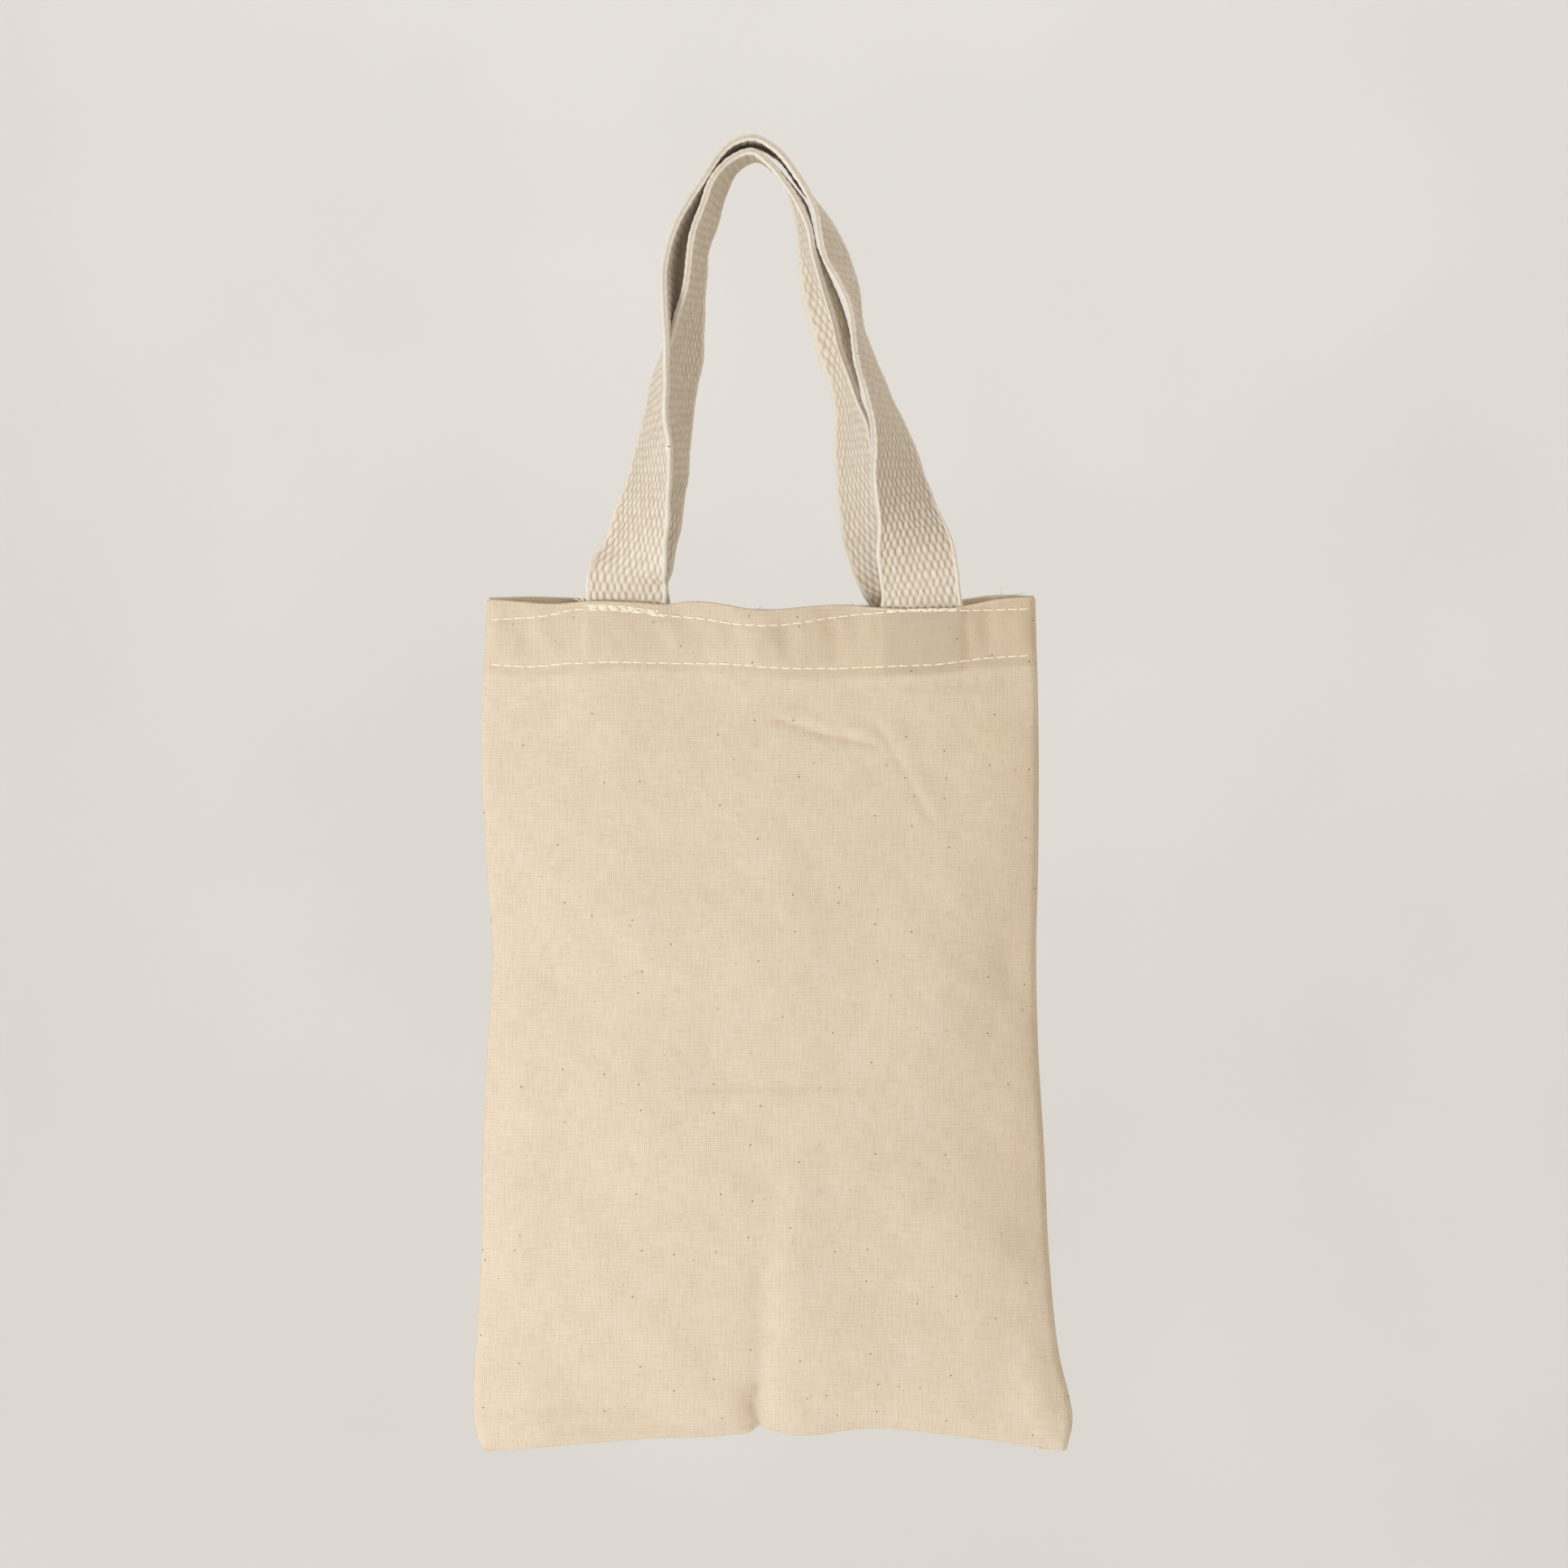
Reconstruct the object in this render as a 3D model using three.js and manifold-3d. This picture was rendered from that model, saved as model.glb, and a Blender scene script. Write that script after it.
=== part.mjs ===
// A plain canvas tote bag that hangs by its two webbing handles.
//
// Units are millimetres, +Z is up and the bag's front faces -Y. The origin is the point where the
// inner handle rests on whatever holds the bag up: the underside of the inner loop at its top.
//
// The bag is two canvas panels, seamed at the sides and the bottom and turned right side out, so the
// seam allowances lie inside. The top of each panel is turned in as a hem, and the ends of one strap
// are sewn to the inside of each hem.

import * as THREE from 'three';
import { mergeVertices } from 'three/addons/utils/BufferGeometryUtils.js';
import Module from 'manifold-3d';

const wasm = await Module();
wasm.setup();

// Overall sizes of the bag.
const MOUTH_WIDTH = 169;
const BODY_HEIGHT = 262;
const HANDLE_DROP = 136; // from the resting point of the handles down to the mouth
const BODY_CENTRE_X = 4; // the body hangs a little to the right of the hook
const MOUTH_BULGE = 6; // how far each panel stands out at the mouth, beyond its side edges
const BODY_BULGE = 13; // the same at mid height

// Cloth, hem and seams.
const CLOTH = 0.6;
const CLEARANCE = 0.3; // between neighbouring pieces
const EDGE_HALF = 3.4; // from the seam plane to the middle of the cloth at a seamed edge
const ALLOWANCE = 8; // seam allowance, turned inwards
const HEM_DEPTH = 23;
const HEM_STEP = 1; // from the middle of the outer layer to the middle of the turned-in layer
const TOP_LIFT = 1; // the mouth's corners are this much higher than its middle
const BOTTOM_SAG = 6.5; // the bottom corners hang this much lower than the middle

// Webbing.
const WEB_WIDTH = 25;
const WEB_THICKNESS = 2;
const FLEX_RISE = 9; // the strap bends at this height above the mouth
const FLEX_GAP = 2.6; // between the bending line and the top of the sewn-in end

// Threads.
const STITCH_RADIUS = 0.25;
const UPPER_ROW = 5; // below the mouth
const LOWER_ROW = 20;
const TACK_ROW = 3;
const ROW_INSET = 4; // from the side seams
const SEAM_INSET = 3; // from the folded edge to the seam
const OVERLOCK_RADIUS = 1; // over the raw edges of both allowances

// How far the side edges stand out beyond the mouth's corners, as [share of the way down, distance].
const LEFT_SWELL = [[0, 0], [0.3, 1], [0.52, 0], [0.78, 2], [0.93, 4], [1, 1.5]];
const RIGHT_SWELL = [[0, 0], [0.4, 0.5], [0.6, 1.5], [0.78, 5], [0.93, 10.5], [1, 9.5]];

// Each leg of a handle, from the bending line up: [share of the rise from the mouth to the top, share of
// the leg's sideways reach from the top, angle of the strap's width from +X in degrees, share of LEAN].
const LEAN = 9; // how far a strap leans out from the seam plane at its widest
const FRONT = {
  side: -1,
  topX: 0.8,
  topZ: 5.6,
  topAngle: 81,
  legX: [-37.4, 53.5],
  left: [
    [0.1, 0.96, 180, 0.66], [0.18, 0.885, 142, 1], [0.29, 0.814, 121, 0.9], [0.4, 0.767, 106, 0.65],
    [0.54, 0.717, 98, 0.4], [0.68, 0.66, 89, 0.2], [0.82, 0.513, 84, 0.05], [0.92, 0.385, 82, 0],
    [0.98, 0.23, 81, 0],
  ],
  right: [
    [0.1, 0.96, 0, 0.66], [0.19, 0.911, 38, 1], [0.29, 0.854, 57, 0.9], [0.4, 0.77, 68, 0.65],
    [0.54, 0.649, 73, 0.4], [0.67, 0.573, 77, 0.2], [0.82, 0.431, 79, 0.05], [0.925, 0.266, 80, 0],
    [0.985, 0.14, 80.5, 0],
  ],
};
const BACK = {
  side: 1,
  topX: 0.8,
  topZ: WEB_THICKNESS / 2,
  topAngle: 83,
  legX: [-37, 50.3],
  left: [
    [0.1, 0.95, 0, 0.66], [0.18, 0.79, 48, 1], [0.285, 0.63, 74, 0.9], [0.41, 0.582, 77, 0.65],
    [0.54, 0.519, 74, 0.4], [0.7, 0.471, 77, 0.2], [0.85, 0.365, 79, 0.05], [0.95, 0.235, 81, 0],
  ],
  right: [
    [0.1, 0.94, 180, 0.66], [0.19, 0.79, 145, 1], [0.285, 0.711, 122, 0.9], [0.375, 0.681, 110, 0.65],
    [0.52, 0.58, 101, 0.4], [0.66, 0.45, 97, 0.2], [0.84, 0.323, 92, 0.05], [0.945, 0.196, 87, 0],
  ],
};

const CANVAS = { color: 0xd9c6ab, roughness: 0.95, metalness: 0 };
const WEBBING = { color: 0xd8c9b0, roughness: 0.9, metalness: 0 };
const THREAD = { color: 0xeadfca, roughness: 0.85, metalness: 0 };

// How finely the cloth is divided.
const ACROSS_STEPS = 20;
const DOWN_STEPS = 18;

const MOUTH_Z = -HANDLE_DROP;
const FLEX_Z = MOUTH_Z + FLEX_RISE;

const lerp = THREE.MathUtils.lerp;
const smoothstep = THREE.MathUtils.smoothstep;

// The value of a smooth line through [place, value] pairs.
function through(pairs, at) {
  const next = Math.max(1, pairs.findIndex(([place]) => place >= at));
  const [low, high] = [pairs[next - 1], pairs[next]];
  return lerp(low[1], high[1], smoothstep(at, low[0], high[0]));
}

// The body's outline. down runs from 0 at the mouth to 1 at the bottom, across from 0 to 1.
const leftX = (down) => BODY_CENTRE_X - MOUTH_WIDTH / 2 - through(LEFT_SWELL, down);
const rightX = (down) => BODY_CENTRE_X + MOUTH_WIDTH / 2 + through(RIGHT_SWELL, down);
const xAt = (across, down) => lerp(leftX(down), rightX(down), across);

function zAt(across, down) {
  const out = (2 * across - 1) ** 2;
  const top = MOUTH_Z + TOP_LIFT * out;
  const bottom = MOUTH_Z - BODY_HEIGHT + BOTTOM_SAG * (1 - out);
  return lerp(top, bottom, down);
}

// Distance from the seam plane to the middle of a panel's cloth.
function depthAt(across, down) {
  const MID = 0.35;
  const CLOSING = 0.75;
  const crown = Math.max(0, 1 - (2 * across - 1) ** 2) ** 0.6;
  const fullness = lerp(MOUTH_BULGE, BODY_BULGE, smoothstep(down, 0, MID));
  const closing = Math.max(0, (down - CLOSING) / (1 - CLOSING));
  return EDGE_HALF + fullness * crown * Math.sqrt(1 - closing * closing);
}

const acrossAt = (x, down) => (x - leftX(down)) / (rightX(down) - leftX(down));
const downAt = (z) => THREE.MathUtils.clamp((MOUTH_Z - z) / BODY_HEIGHT, 0, 1);
const legDepth = (x) => depthAt(acrossAt(x, 0), 0) - HEM_STEP - CLOTH / 2 - CLEARANCE - WEB_THICKNESS / 2;

// Solids and meshes.
function solidOf(geometry) {
  const bare = geometry.index ? geometry.toNonIndexed() : geometry.clone();
  bare.deleteAttribute('normal');
  bare.deleteAttribute('uv');
  const merged = mergeVertices(bare, 1e-4);
  return new wasm.Manifold(new wasm.Mesh({
    numProp: 3,
    vertProperties: merged.attributes.position.array,
    triVerts: merged.index.array,
  }));
}

function geometryOf(solid) {
  const mesh = solid.getMesh();
  const geometry = new THREE.BufferGeometry();
  geometry.setAttribute('position', new THREE.BufferAttribute(mesh.vertProperties, 3));
  geometry.setIndex(new THREE.BufferAttribute(mesh.triVerts, 1));
  return geometry;
}

function named(name, geometry, finish) {
  const mesh = new THREE.Mesh(geometry, new THREE.MeshStandardMaterial(finish));
  mesh.name = name;
  return mesh;
}

// Moves every point of a geometry by a function of its own coordinates.
function bend(geometry, move) {
  const position = geometry.attributes.position;
  const point = new THREE.Vector3();
  for (let i = 0; i < position.count; i += 1) {
    point.fromBufferAttribute(position, i);
    const [x, y, z] = move(point.x, point.y, point.z);
    position.setXYZ(i, x, y, z);
  }
  return geometry;
}

// A layer of cloth on one panel: across and down run from 0 to 1, and from and to give the distances of
// its two faces from the seam plane.
function layer(side, acrossSteps, downSteps, place) {
  const grid = new THREE.BoxGeometry(1, 1, 1, acrossSteps, 1, downSteps);
  return solidOf(bend(grid, (x, y, z) => {
    const { at, from, to } = place(x + 0.5, 0.5 - z);
    const far = side > 0 ? y + 0.5 : 0.5 - y;
    return [at[0], side * lerp(from, to, far), at[1]];
  }));
}

// A panel: the face, the turned-in hem, and the seam allowances with the folds that lead to them.
function panel(side) {
  const half = CLOTH / 2;
  const inner = CLEARANCE / 2;
  const spot = (across, down, dx = 0, dz = 0) => [xAt(across, down) + dx, zAt(across, down) + dz];
  const face = layer(side, ACROSS_STEPS, DOWN_STEPS, (across, down) => ({
    at: spot(across, down),
    from: depthAt(across, down) - half,
    to: depthAt(across, down) + half,
  }));
  const hem = layer(side, ACROSS_STEPS, 3, (across, down) => ({
    at: spot(across, 0, 0, -down * HEM_DEPTH),
    from: depthAt(across, down * HEM_DEPTH / BODY_HEIGHT) - HEM_STEP - half,
    to: depthAt(across, down * HEM_DEPTH / BODY_HEIGHT) - HEM_STEP + half,
  }));
  const hemFold = layer(side, ACROSS_STEPS, 1, (across, down) => ({
    at: spot(across, 0, 0, -down * CLOTH),
    from: depthAt(across, 0) - HEM_STEP - half,
    to: depthAt(across, 0) + half,
  }));
  const sideStrip = (edge, width, to) => layer(side, 1, DOWN_STEPS, (across, down) => ({
    at: spot(edge, down, (across - edge) * width),
    from: inner,
    to,
  }));
  const sides = [0, 1].flatMap((edge) => [
    sideStrip(edge, CLOTH, EDGE_HALF + half),
    sideStrip(edge, ALLOWANCE, inner + CLOTH),
  ]);
  const bottomStrip = (width, to) => layer(side, ACROSS_STEPS, 1, (across, down) => ({
    at: spot(across, 1, 0, (1 - down) * width),
    from: inner,
    to,
  }));
  const bottom = [bottomStrip(CLOTH, EDGE_HALF + half), bottomStrip(ALLOWANCE, inner + CLOTH)];
  return geometryOf([hem, hemFold, ...sides, ...bottom].reduce((whole, piece) => whole.add(piece), face));
}

// The strap's cross-section: a flat band with eased edges.
function bandSection() {
  const [w, t] = [WEB_WIDTH / 2, WEB_THICKNESS / 2];
  const ease = t / 2;
  const outline = [
    [-w, -t + ease], [-w + ease, -t], [w - ease, -t], [w, -t + ease],
    [w, t - ease], [w - ease, t], [-w + ease, t], [-w, t - ease],
  ];
  return new THREE.Shape(outline.map(([x, y]) => new THREE.Vector2(x, y)));
}

// One leg's stations as [x, y, z, angle], from the bending line to just below the top.
function legStations(handle, legX, stations, flatAngle) {
  const foot = handle.side * legDepth(legX);
  const risen = stations.map(([rise, reach, angle, lean]) => [
    lerp(handle.topX, legX, reach),
    handle.side * LEAN * lean,
    lerp(MOUTH_Z, handle.topZ, rise),
    angle,
  ]);
  return [[legX, foot, FLEX_Z, flatAngle], ...risen];
}

function handleLoop(handle) {
  const front = handle.side < 0;
  const left = legStations(handle, handle.legX[0], handle.left, front ? 180 : 0);
  const right = legStations(handle, handle.legX[1], handle.right, front ? 0 : 180);
  const all = [...left, [handle.topX, 0, handle.topZ, handle.topAngle], ...right.reverse()];
  const route = new THREE.CatmullRomCurve3(all.map(([x, y, z]) => new THREE.Vector3(x, y, z)));
  const turn = new THREE.CatmullRomCurve3(all.map(([, , , angle]) => new THREE.Vector3(angle, 0, 0)),
    false, 'catmullrom', 0.5);
  const STEPS = 3 * (all.length - 1);
  const band = new THREE.ExtrudeGeometry(bandSection(), { depth: 1, steps: STEPS, bevelEnabled: false });
  bend(band, (u, v, along) => {
    const angle = THREE.MathUtils.degToRad(turn.getPoint(along).x);
    const ahead = route.getTangent(along);
    if (along < 1e-6) ahead.set(0, 0, 1);
    if (along > 1 - 1e-6) ahead.set(0, 0, -1);
    const width = new THREE.Vector3(Math.cos(angle), Math.sin(angle), 0);
    const out = new THREE.Vector3().crossVectors(ahead, width).normalize();
    return route.getPoint(along).addScaledVector(width, u).addScaledVector(out, v).toArray();
  });
  const knuckles = handle.legX.map((legX) => {
    const roll = new THREE.CylinderGeometry(WEB_THICKNESS / 2, WEB_THICKNESS / 2, WEB_WIDTH - 1, 12);
    roll.rotateZ(Math.PI / 2);
    roll.translate(legX, handle.side * legDepth(legX), FLEX_Z);
    return solidOf(roll);
  });
  return geometryOf(knuckles.reduce((whole, roll) => whole.add(roll), solidOf(band)));
}

// The sewn-in end of a strap lies on the inside of the hem and stands a little above the mouth.
function handleEnd(side, legX) {
  const low = MOUTH_Z - HEM_DEPTH;
  const high = FLEX_Z - FLEX_GAP;
  const band = new THREE.BoxGeometry(WEB_WIDTH, WEB_THICKNESS, high - low, 6, 1, 4);
  band.translate(legX, 0, (low + high) / 2);
  return bend(band, (x, y, z) => {
    const hemFace = depthAt(acrossAt(x, 0), downAt(z)) - HEM_STEP - CLOTH / 2;
    return [x, side * (hemFace - CLEARANCE - WEB_THICKNESS / 2) + y, z];
  });
}

// A thread along a line, as a solid with a six-sided section.
function threadAlong(points, radius) {
  const SIDES = 6;
  const section = new THREE.Shape(Array.from({ length: SIDES }, (_, i) => {
    const angle = (i * 2 * Math.PI) / SIDES;
    return new THREE.Vector2(Math.cos(angle) * radius, Math.sin(angle) * radius);
  }));
  const path = new THREE.CatmullRomCurve3(points.map((point) => new THREE.Vector3(...point)));
  return new THREE.ExtrudeGeometry(section, {
    steps: points.length - 1,
    bevelEnabled: false,
    extrudePath: path,
  });
}

// A row of stitching on the outside of a hem, from startX to endX.
function hemRow(side, below, startX, endX, steps) {
  const out = CLOTH / 2 + CLEARANCE + STITCH_RADIUS;
  const down = below / BODY_HEIGHT;
  const points = Array.from({ length: steps + 1 }, (_, i) => {
    const x = lerp(startX, endX, i / steps);
    const across = acrossAt(x, down);
    return [x, side * (depthAt(across, down) + out), zAt(across, down)];
  });
  return threadAlong(points, STITCH_RADIUS);
}

// A line that follows a side edge at a distance inwards.
function sideLine(edge, inwards, y, topGap, bottomGap) {
  const STEPS = 16;
  return Array.from({ length: STEPS + 1 }, (_, i) => {
    const down = lerp(topGap, BODY_HEIGHT - bottomGap, i / STEPS) / BODY_HEIGHT;
    const x = edge === 0 ? leftX(down) + inwards : rightX(down) - inwards;
    return [x, y, zAt(edge, down)];
  });
}

// A line that follows the bottom edge at a distance upwards.
function bottomLine(upwards, y, endGap) {
  const STEPS = 16;
  return Array.from({ length: STEPS + 1 }, (_, i) => {
    const x = lerp(leftX(1) + endGap, rightX(1) - endGap, i / STEPS);
    return [x, y, zAt(acrossAt(x, 1), 1) + upwards];
  });
}

const bag = new THREE.Group();

function addPanelPieces(word, handle) {
  const { side, legX } = handle;
  bag.add(named(`${word}_panel`, panel(side), CANVAS));
  bag.add(named(`${word}_handle`, handleLoop(handle), WEBBING));
  const rowEnds = (below) => {
    const down = below / BODY_HEIGHT;
    return [leftX(down) + ROW_INSET, rightX(down) - ROW_INSET];
  };
  bag.add(named(`${word}_hem_stitch_upper`, hemRow(side, UPPER_ROW, ...rowEnds(UPPER_ROW), 24), THREAD));
  bag.add(named(`${word}_hem_stitch_lower`, hemRow(side, LOWER_ROW, ...rowEnds(LOWER_ROW), 24), THREAD));
  ['left', 'right'].forEach((hand, i) => {
    const [start, end] = [legX[i] - WEB_WIDTH / 2, legX[i] + WEB_WIDTH / 2];
    bag.add(named(`${word}_handle_end_${hand}`, handleEnd(side, legX[i]), WEBBING));
    bag.add(named(`${word}_handle_tack_${hand}`, hemRow(side, TACK_ROW, start, end, 6), THREAD));
  });
}

function addSeams() {
  const threadY = -(CLEARANCE / 2 + CLOTH + CLEARANCE + STITCH_RADIUS);
  const overlockIn = ALLOWANCE + 2 * CLEARANCE + OVERLOCK_RADIUS;
  const TOP_GAP = 2;
  ['left', 'right'].forEach((hand, edge) => {
    const seam = sideLine(edge, SEAM_INSET, threadY, TOP_GAP, 2 * SEAM_INSET);
    const overlock = sideLine(edge, overlockIn, 0, TOP_GAP, ALLOWANCE + 4 * OVERLOCK_RADIUS);
    bag.add(named(`${hand}_seam_thread`, threadAlong(seam, STITCH_RADIUS), THREAD));
    bag.add(named(`${hand}_overlock_thread`, threadAlong(overlock, OVERLOCK_RADIUS), THREAD));
  });
  const seam = bottomLine(SEAM_INSET, threadY, 2 * SEAM_INSET);
  const overlock = bottomLine(overlockIn, 0, ALLOWANCE + 4 * OVERLOCK_RADIUS);
  bag.add(named('bottom_seam_thread', threadAlong(seam, STITCH_RADIUS), THREAD));
  bag.add(named('bottom_overlock_thread', threadAlong(overlock, OVERLOCK_RADIUS), THREAD));
}

addPanelPieces('front', FRONT);
addPanelPieces('back', BACK);
addSeams();

export default bag;
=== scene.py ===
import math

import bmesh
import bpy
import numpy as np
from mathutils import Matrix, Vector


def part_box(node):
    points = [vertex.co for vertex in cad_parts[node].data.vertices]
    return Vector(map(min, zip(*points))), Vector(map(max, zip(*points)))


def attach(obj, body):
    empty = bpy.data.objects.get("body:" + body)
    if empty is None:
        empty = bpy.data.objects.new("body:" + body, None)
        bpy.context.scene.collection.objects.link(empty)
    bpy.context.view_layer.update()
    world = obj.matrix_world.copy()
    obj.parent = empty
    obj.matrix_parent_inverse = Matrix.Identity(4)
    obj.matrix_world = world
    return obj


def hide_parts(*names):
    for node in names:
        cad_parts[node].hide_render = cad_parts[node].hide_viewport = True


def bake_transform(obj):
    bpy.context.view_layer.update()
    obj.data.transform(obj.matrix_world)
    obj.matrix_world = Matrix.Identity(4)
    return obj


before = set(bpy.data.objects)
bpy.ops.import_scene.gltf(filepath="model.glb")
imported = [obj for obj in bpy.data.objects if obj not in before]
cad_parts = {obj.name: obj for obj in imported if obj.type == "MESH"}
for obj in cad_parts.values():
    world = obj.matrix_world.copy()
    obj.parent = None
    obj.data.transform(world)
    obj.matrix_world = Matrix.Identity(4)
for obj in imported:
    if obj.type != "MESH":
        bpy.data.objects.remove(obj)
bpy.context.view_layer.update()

# A plain canvas tote bag hanging by its two webbing handles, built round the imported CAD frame.
#
# Lengths in this script are millimetres in the row frame and become metres when a mesh is made. The
# front of the bag faces -Y, +Z is up, and the origin is where the inner handle rests on its hook.
# A side is -1 for the front of the bag and 1 for its back.

MM = 0.001

# Cloth and seams.
CLOTH = 0.55  # thickness
LAYER_STEP = 0.95  # from one layer's middle to the next where two lie together
SEAM_Y = 0.35  # from the seam plane to the middle of an allowance
EDGE_Y = 0.95  # the same for the face where it turns into the side fold
EDGE_ROLL = 0.7  # the rolled edge stands this far outside the face's grid
MOUTH_ROLL = 0.9
FOLD_OUT = 0.3  # the fold at a seamed edge bulges this far out
ALLOWANCE = 8
HEM_BELOW_ROW = 3  # the turned-in hem ends this far below the lower row
MOUTH_Z = -136
BOTTOM_Z = -398

# Sewing.
STITCH = 3.7  # from one needle hole to the next
STITCH_GAP = 0.55
STITCH_RADIUS = 0.29
SEAM_STITCH = 2.8
TUBE_SIDES = 6
OVERLOCK_STEP = 2.2  # from one loop of the overlock to the next
OVERLOCK_DEPTH = 4.4  # how far its loops reach in from the raw edge

# Webbing.
WEB_WIDTH = 25
WEB_THICKNESS = 1.9
GRAIN = (2.17, 2.65)  # spacing of the woven grains, across and along the strap
GRAIN_HALF = (0.92, 1.8)  # half the size of one grain
GRAIN_HEIGHT = 0.55
SELVEDGE = 1.5  # width of the round braided cord along each edge
SELVEDGE_RADIUS = 1.17
BEHIND_FACE = 2.55  # from the middle of a face's cloth to the middle of a strap's sewn end
SEWN_BLEND = 14  # a strap leaves the hem's slope within this height above the mouth

# The hanging outline, as (z, x) for the sides and (x, z) for the bottom and the mouth.
LEFT_EDGE = [
    (-398, -81.3), (-393, -83.5), (-381, -84.8), (-363, -83.8), (-338, -82.5), (-308, -82),
    (-273, -80.5), (-248, -79), (-213, -81), (-183, -82.5), (-163, -82), (-135, -80.5),
]
RIGHT_EDGE = [
    (-398, 98), (-387, 100), (-381, 99), (-371, 96.5), (-341, 93), (-306, 91.3), (-271, 89.3),
    (-242, 88.8), (-221, 89.3), (-176, 89.5), (-134.5, 88.5),
]
BOTTOM_EDGE = [
    (-82, -398), (-55.5, -396), (-30.5, -394), (-5.5, -392.8), (0.8, -391.8), (3.3, -389.8),
    (5.8, -390.8), (13.3, -392.8), (34.5, -391), (43.3, -390.8), (54.5, -392), (69.5, -393.8),
    (99, -398),
]
FRONT_MOUTH = [
    (-81, -135.2), (-70.5, -136), (-60.5, -136.8), (-49.3, -136), (-33, -136.5), (-25.5, -137),
    (-18, -136), (-10.5, -136.5), (-3, -137.8), (3.3, -138.8), (9.5, -138.5), (19.5, -137.5),
    (29.5, -137), (40.8, -138), (64.5, -137.8), (67, -137.3), (77, -135.3), (89, -134.5),
]
BACK_MOUTH = [
    (-81, -134.6), (-66, -134.2), (-50, -134.8), (-35, -135.8), (-15, -136.8), (5, -138),
    (30, -137), (52, -136.2), (66, -135), (76, -133.7), (89, -134.1),
]
# The two rows of stitching along the hem, as (x, z).
UPPER_ROW = [
    (-80, -141.9), (-61.3, -140.5), (-52.8, -138.7), (-43, -138.5), (-25.8, -140.5),
    (-12.8, -141.8), (-3.8, -143.3), (5.3, -143.8), (16.5, -142.8), (28.8, -140.8), (37.3, -140),
    (77, -138.8), (88, -138.4),
]
LOWER_ROW = [
    (-80, -155.4), (-67.3, -156.3), (-55.3, -155.3), (-37, -155), (-18.8, -155.3), (-6.8, -155.5),
    (5.3, -156.5), (28.8, -156.8), (42, -156.3), (59, -155.5), (70, -154), (88, -152.6),
]

# Soft folds in a panel: each runs from one (x, z) to another with a width and a height, outwards.
FRONT_FOLDS = [
    ((9, -173), (22, -177.5), 1.5, -0.42), ((22, -177.5), (39, -181), 1.5, -0.35),
    ((10, -170.5), (38, -177.5), 2.4, 0.3), ((39.5, -175), (46, -186), 1.5, -0.34),
    ((46, -186), (55, -203), 1.7, -0.26), ((43, -173), (58, -201), 3, 0.28),
    ((37, -161), (77, -161.5), 2.2, 0.4), ((-18, -285.5), (30, -285), 1.3, -0.2),
    ((6.5, -300), (5, -350), 7, -0.35), ((5, -345), (3.6, -380), 4, -0.5),
    ((3.8, -378), (3.3, -394), 2.6, -1.1), ((14, -320), (12, -394), 6, 0.6),
    ((-5, -366), (-3, -393), 5, 0.5), ((1, -383), (4, -392), 1.2, -0.7),
    ((-2, -388), (2, -380), 1.4, -0.4), ((-66, -379), (-38, -383), 4, 0.6),
    ((-60, -388), (-25, -386), 4, -0.5), ((-34, -378), (-10, -383), 4, 0.5),
    ((79, -240), (81, -252), 5, -0.9), ((83, -262), (86, -290), 5, 0.5),
    ((88, -372), (92, -388), 7, 2), ((70, -330), (88, -350), 9, 0.7),
    ((-74, -180), (-70, -240), 7, -0.5), ((-70, -290), (-74, -350), 9, 0.6),
]
BACK_FOLDS = [
    ((-50, -180), (-20, -210), 5, 0.5), ((-45, -186), (-14, -216), 2.4, -0.4),
    ((30, -170), (60, -196), 2.4, -0.4), ((4, -310), (3.6, -380), 5, -0.5),
    ((3.8, -378), (3.3, -394), 2.6, -1.1), ((-8, -330), (-8, -394), 7, 0.9),
    ((16, -350), (15, -394), 6, 0.7), ((-80, -372), (-76, -388), 7, 1.6),
    ((60, -240), (78, -300), 9, 0.6), ((-60, -262), (-20, -270), 3, -0.3),
    ((20, -385), (60, -382), 4, 0.6),
]

# Painted shade in the cloth: tan lines along the creases, patches on slopes and near the edges, and a
# line beside the right strap's end, laid out in the same way, with a strength instead of a height.
FRONT_CREASE_SHADE = [
    ((9, -173), (22, -177.5), 1, 0.75), ((22, -177.5), (39, -180.8), 0.9, 0.95),
    ((39.5, -175), (46, -186), 0.9, 0.5), ((46, -186), (55, -203), 1.1, 0.4),
    ((37, -162.8), (77, -163.4), 1.8, 0.5), ((-18, -286), (30, -285.6), 0.8, 0.5),
    ((-3, -378), (-1, -391), 2.6, 0.6), ((1, -383), (4, -392), 1, 0.8),
    ((82, -180), (84, -330), 13, 0.4), ((24, -139), (26, -152), 3.5, 0.45),
    ((-8, -146), (4, -148), 5, 0.35), ((66.8, -140), (67.2, -154), 0.7, 0.8),
    ((-60, -384), (-30, -387), 2.2, 0.4), ((-60, -392), (-20, -390), 1.4, 0.4),
]
BACK_CREASE_SHADE = [
    ((-50, -180), (-20, -210), 1, 0.6), ((30, -170), (60, -196), 0.9, 0.5),
    ((-60, -262), (-20, -270), 0.8, 0.4), ((1, -380), (4, -392), 1.2, 0.7),
    ((-70, -200), (-74, -330), 12, 0.35), ((40, -330), (50, -360), 9, 0.3),
]

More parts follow.
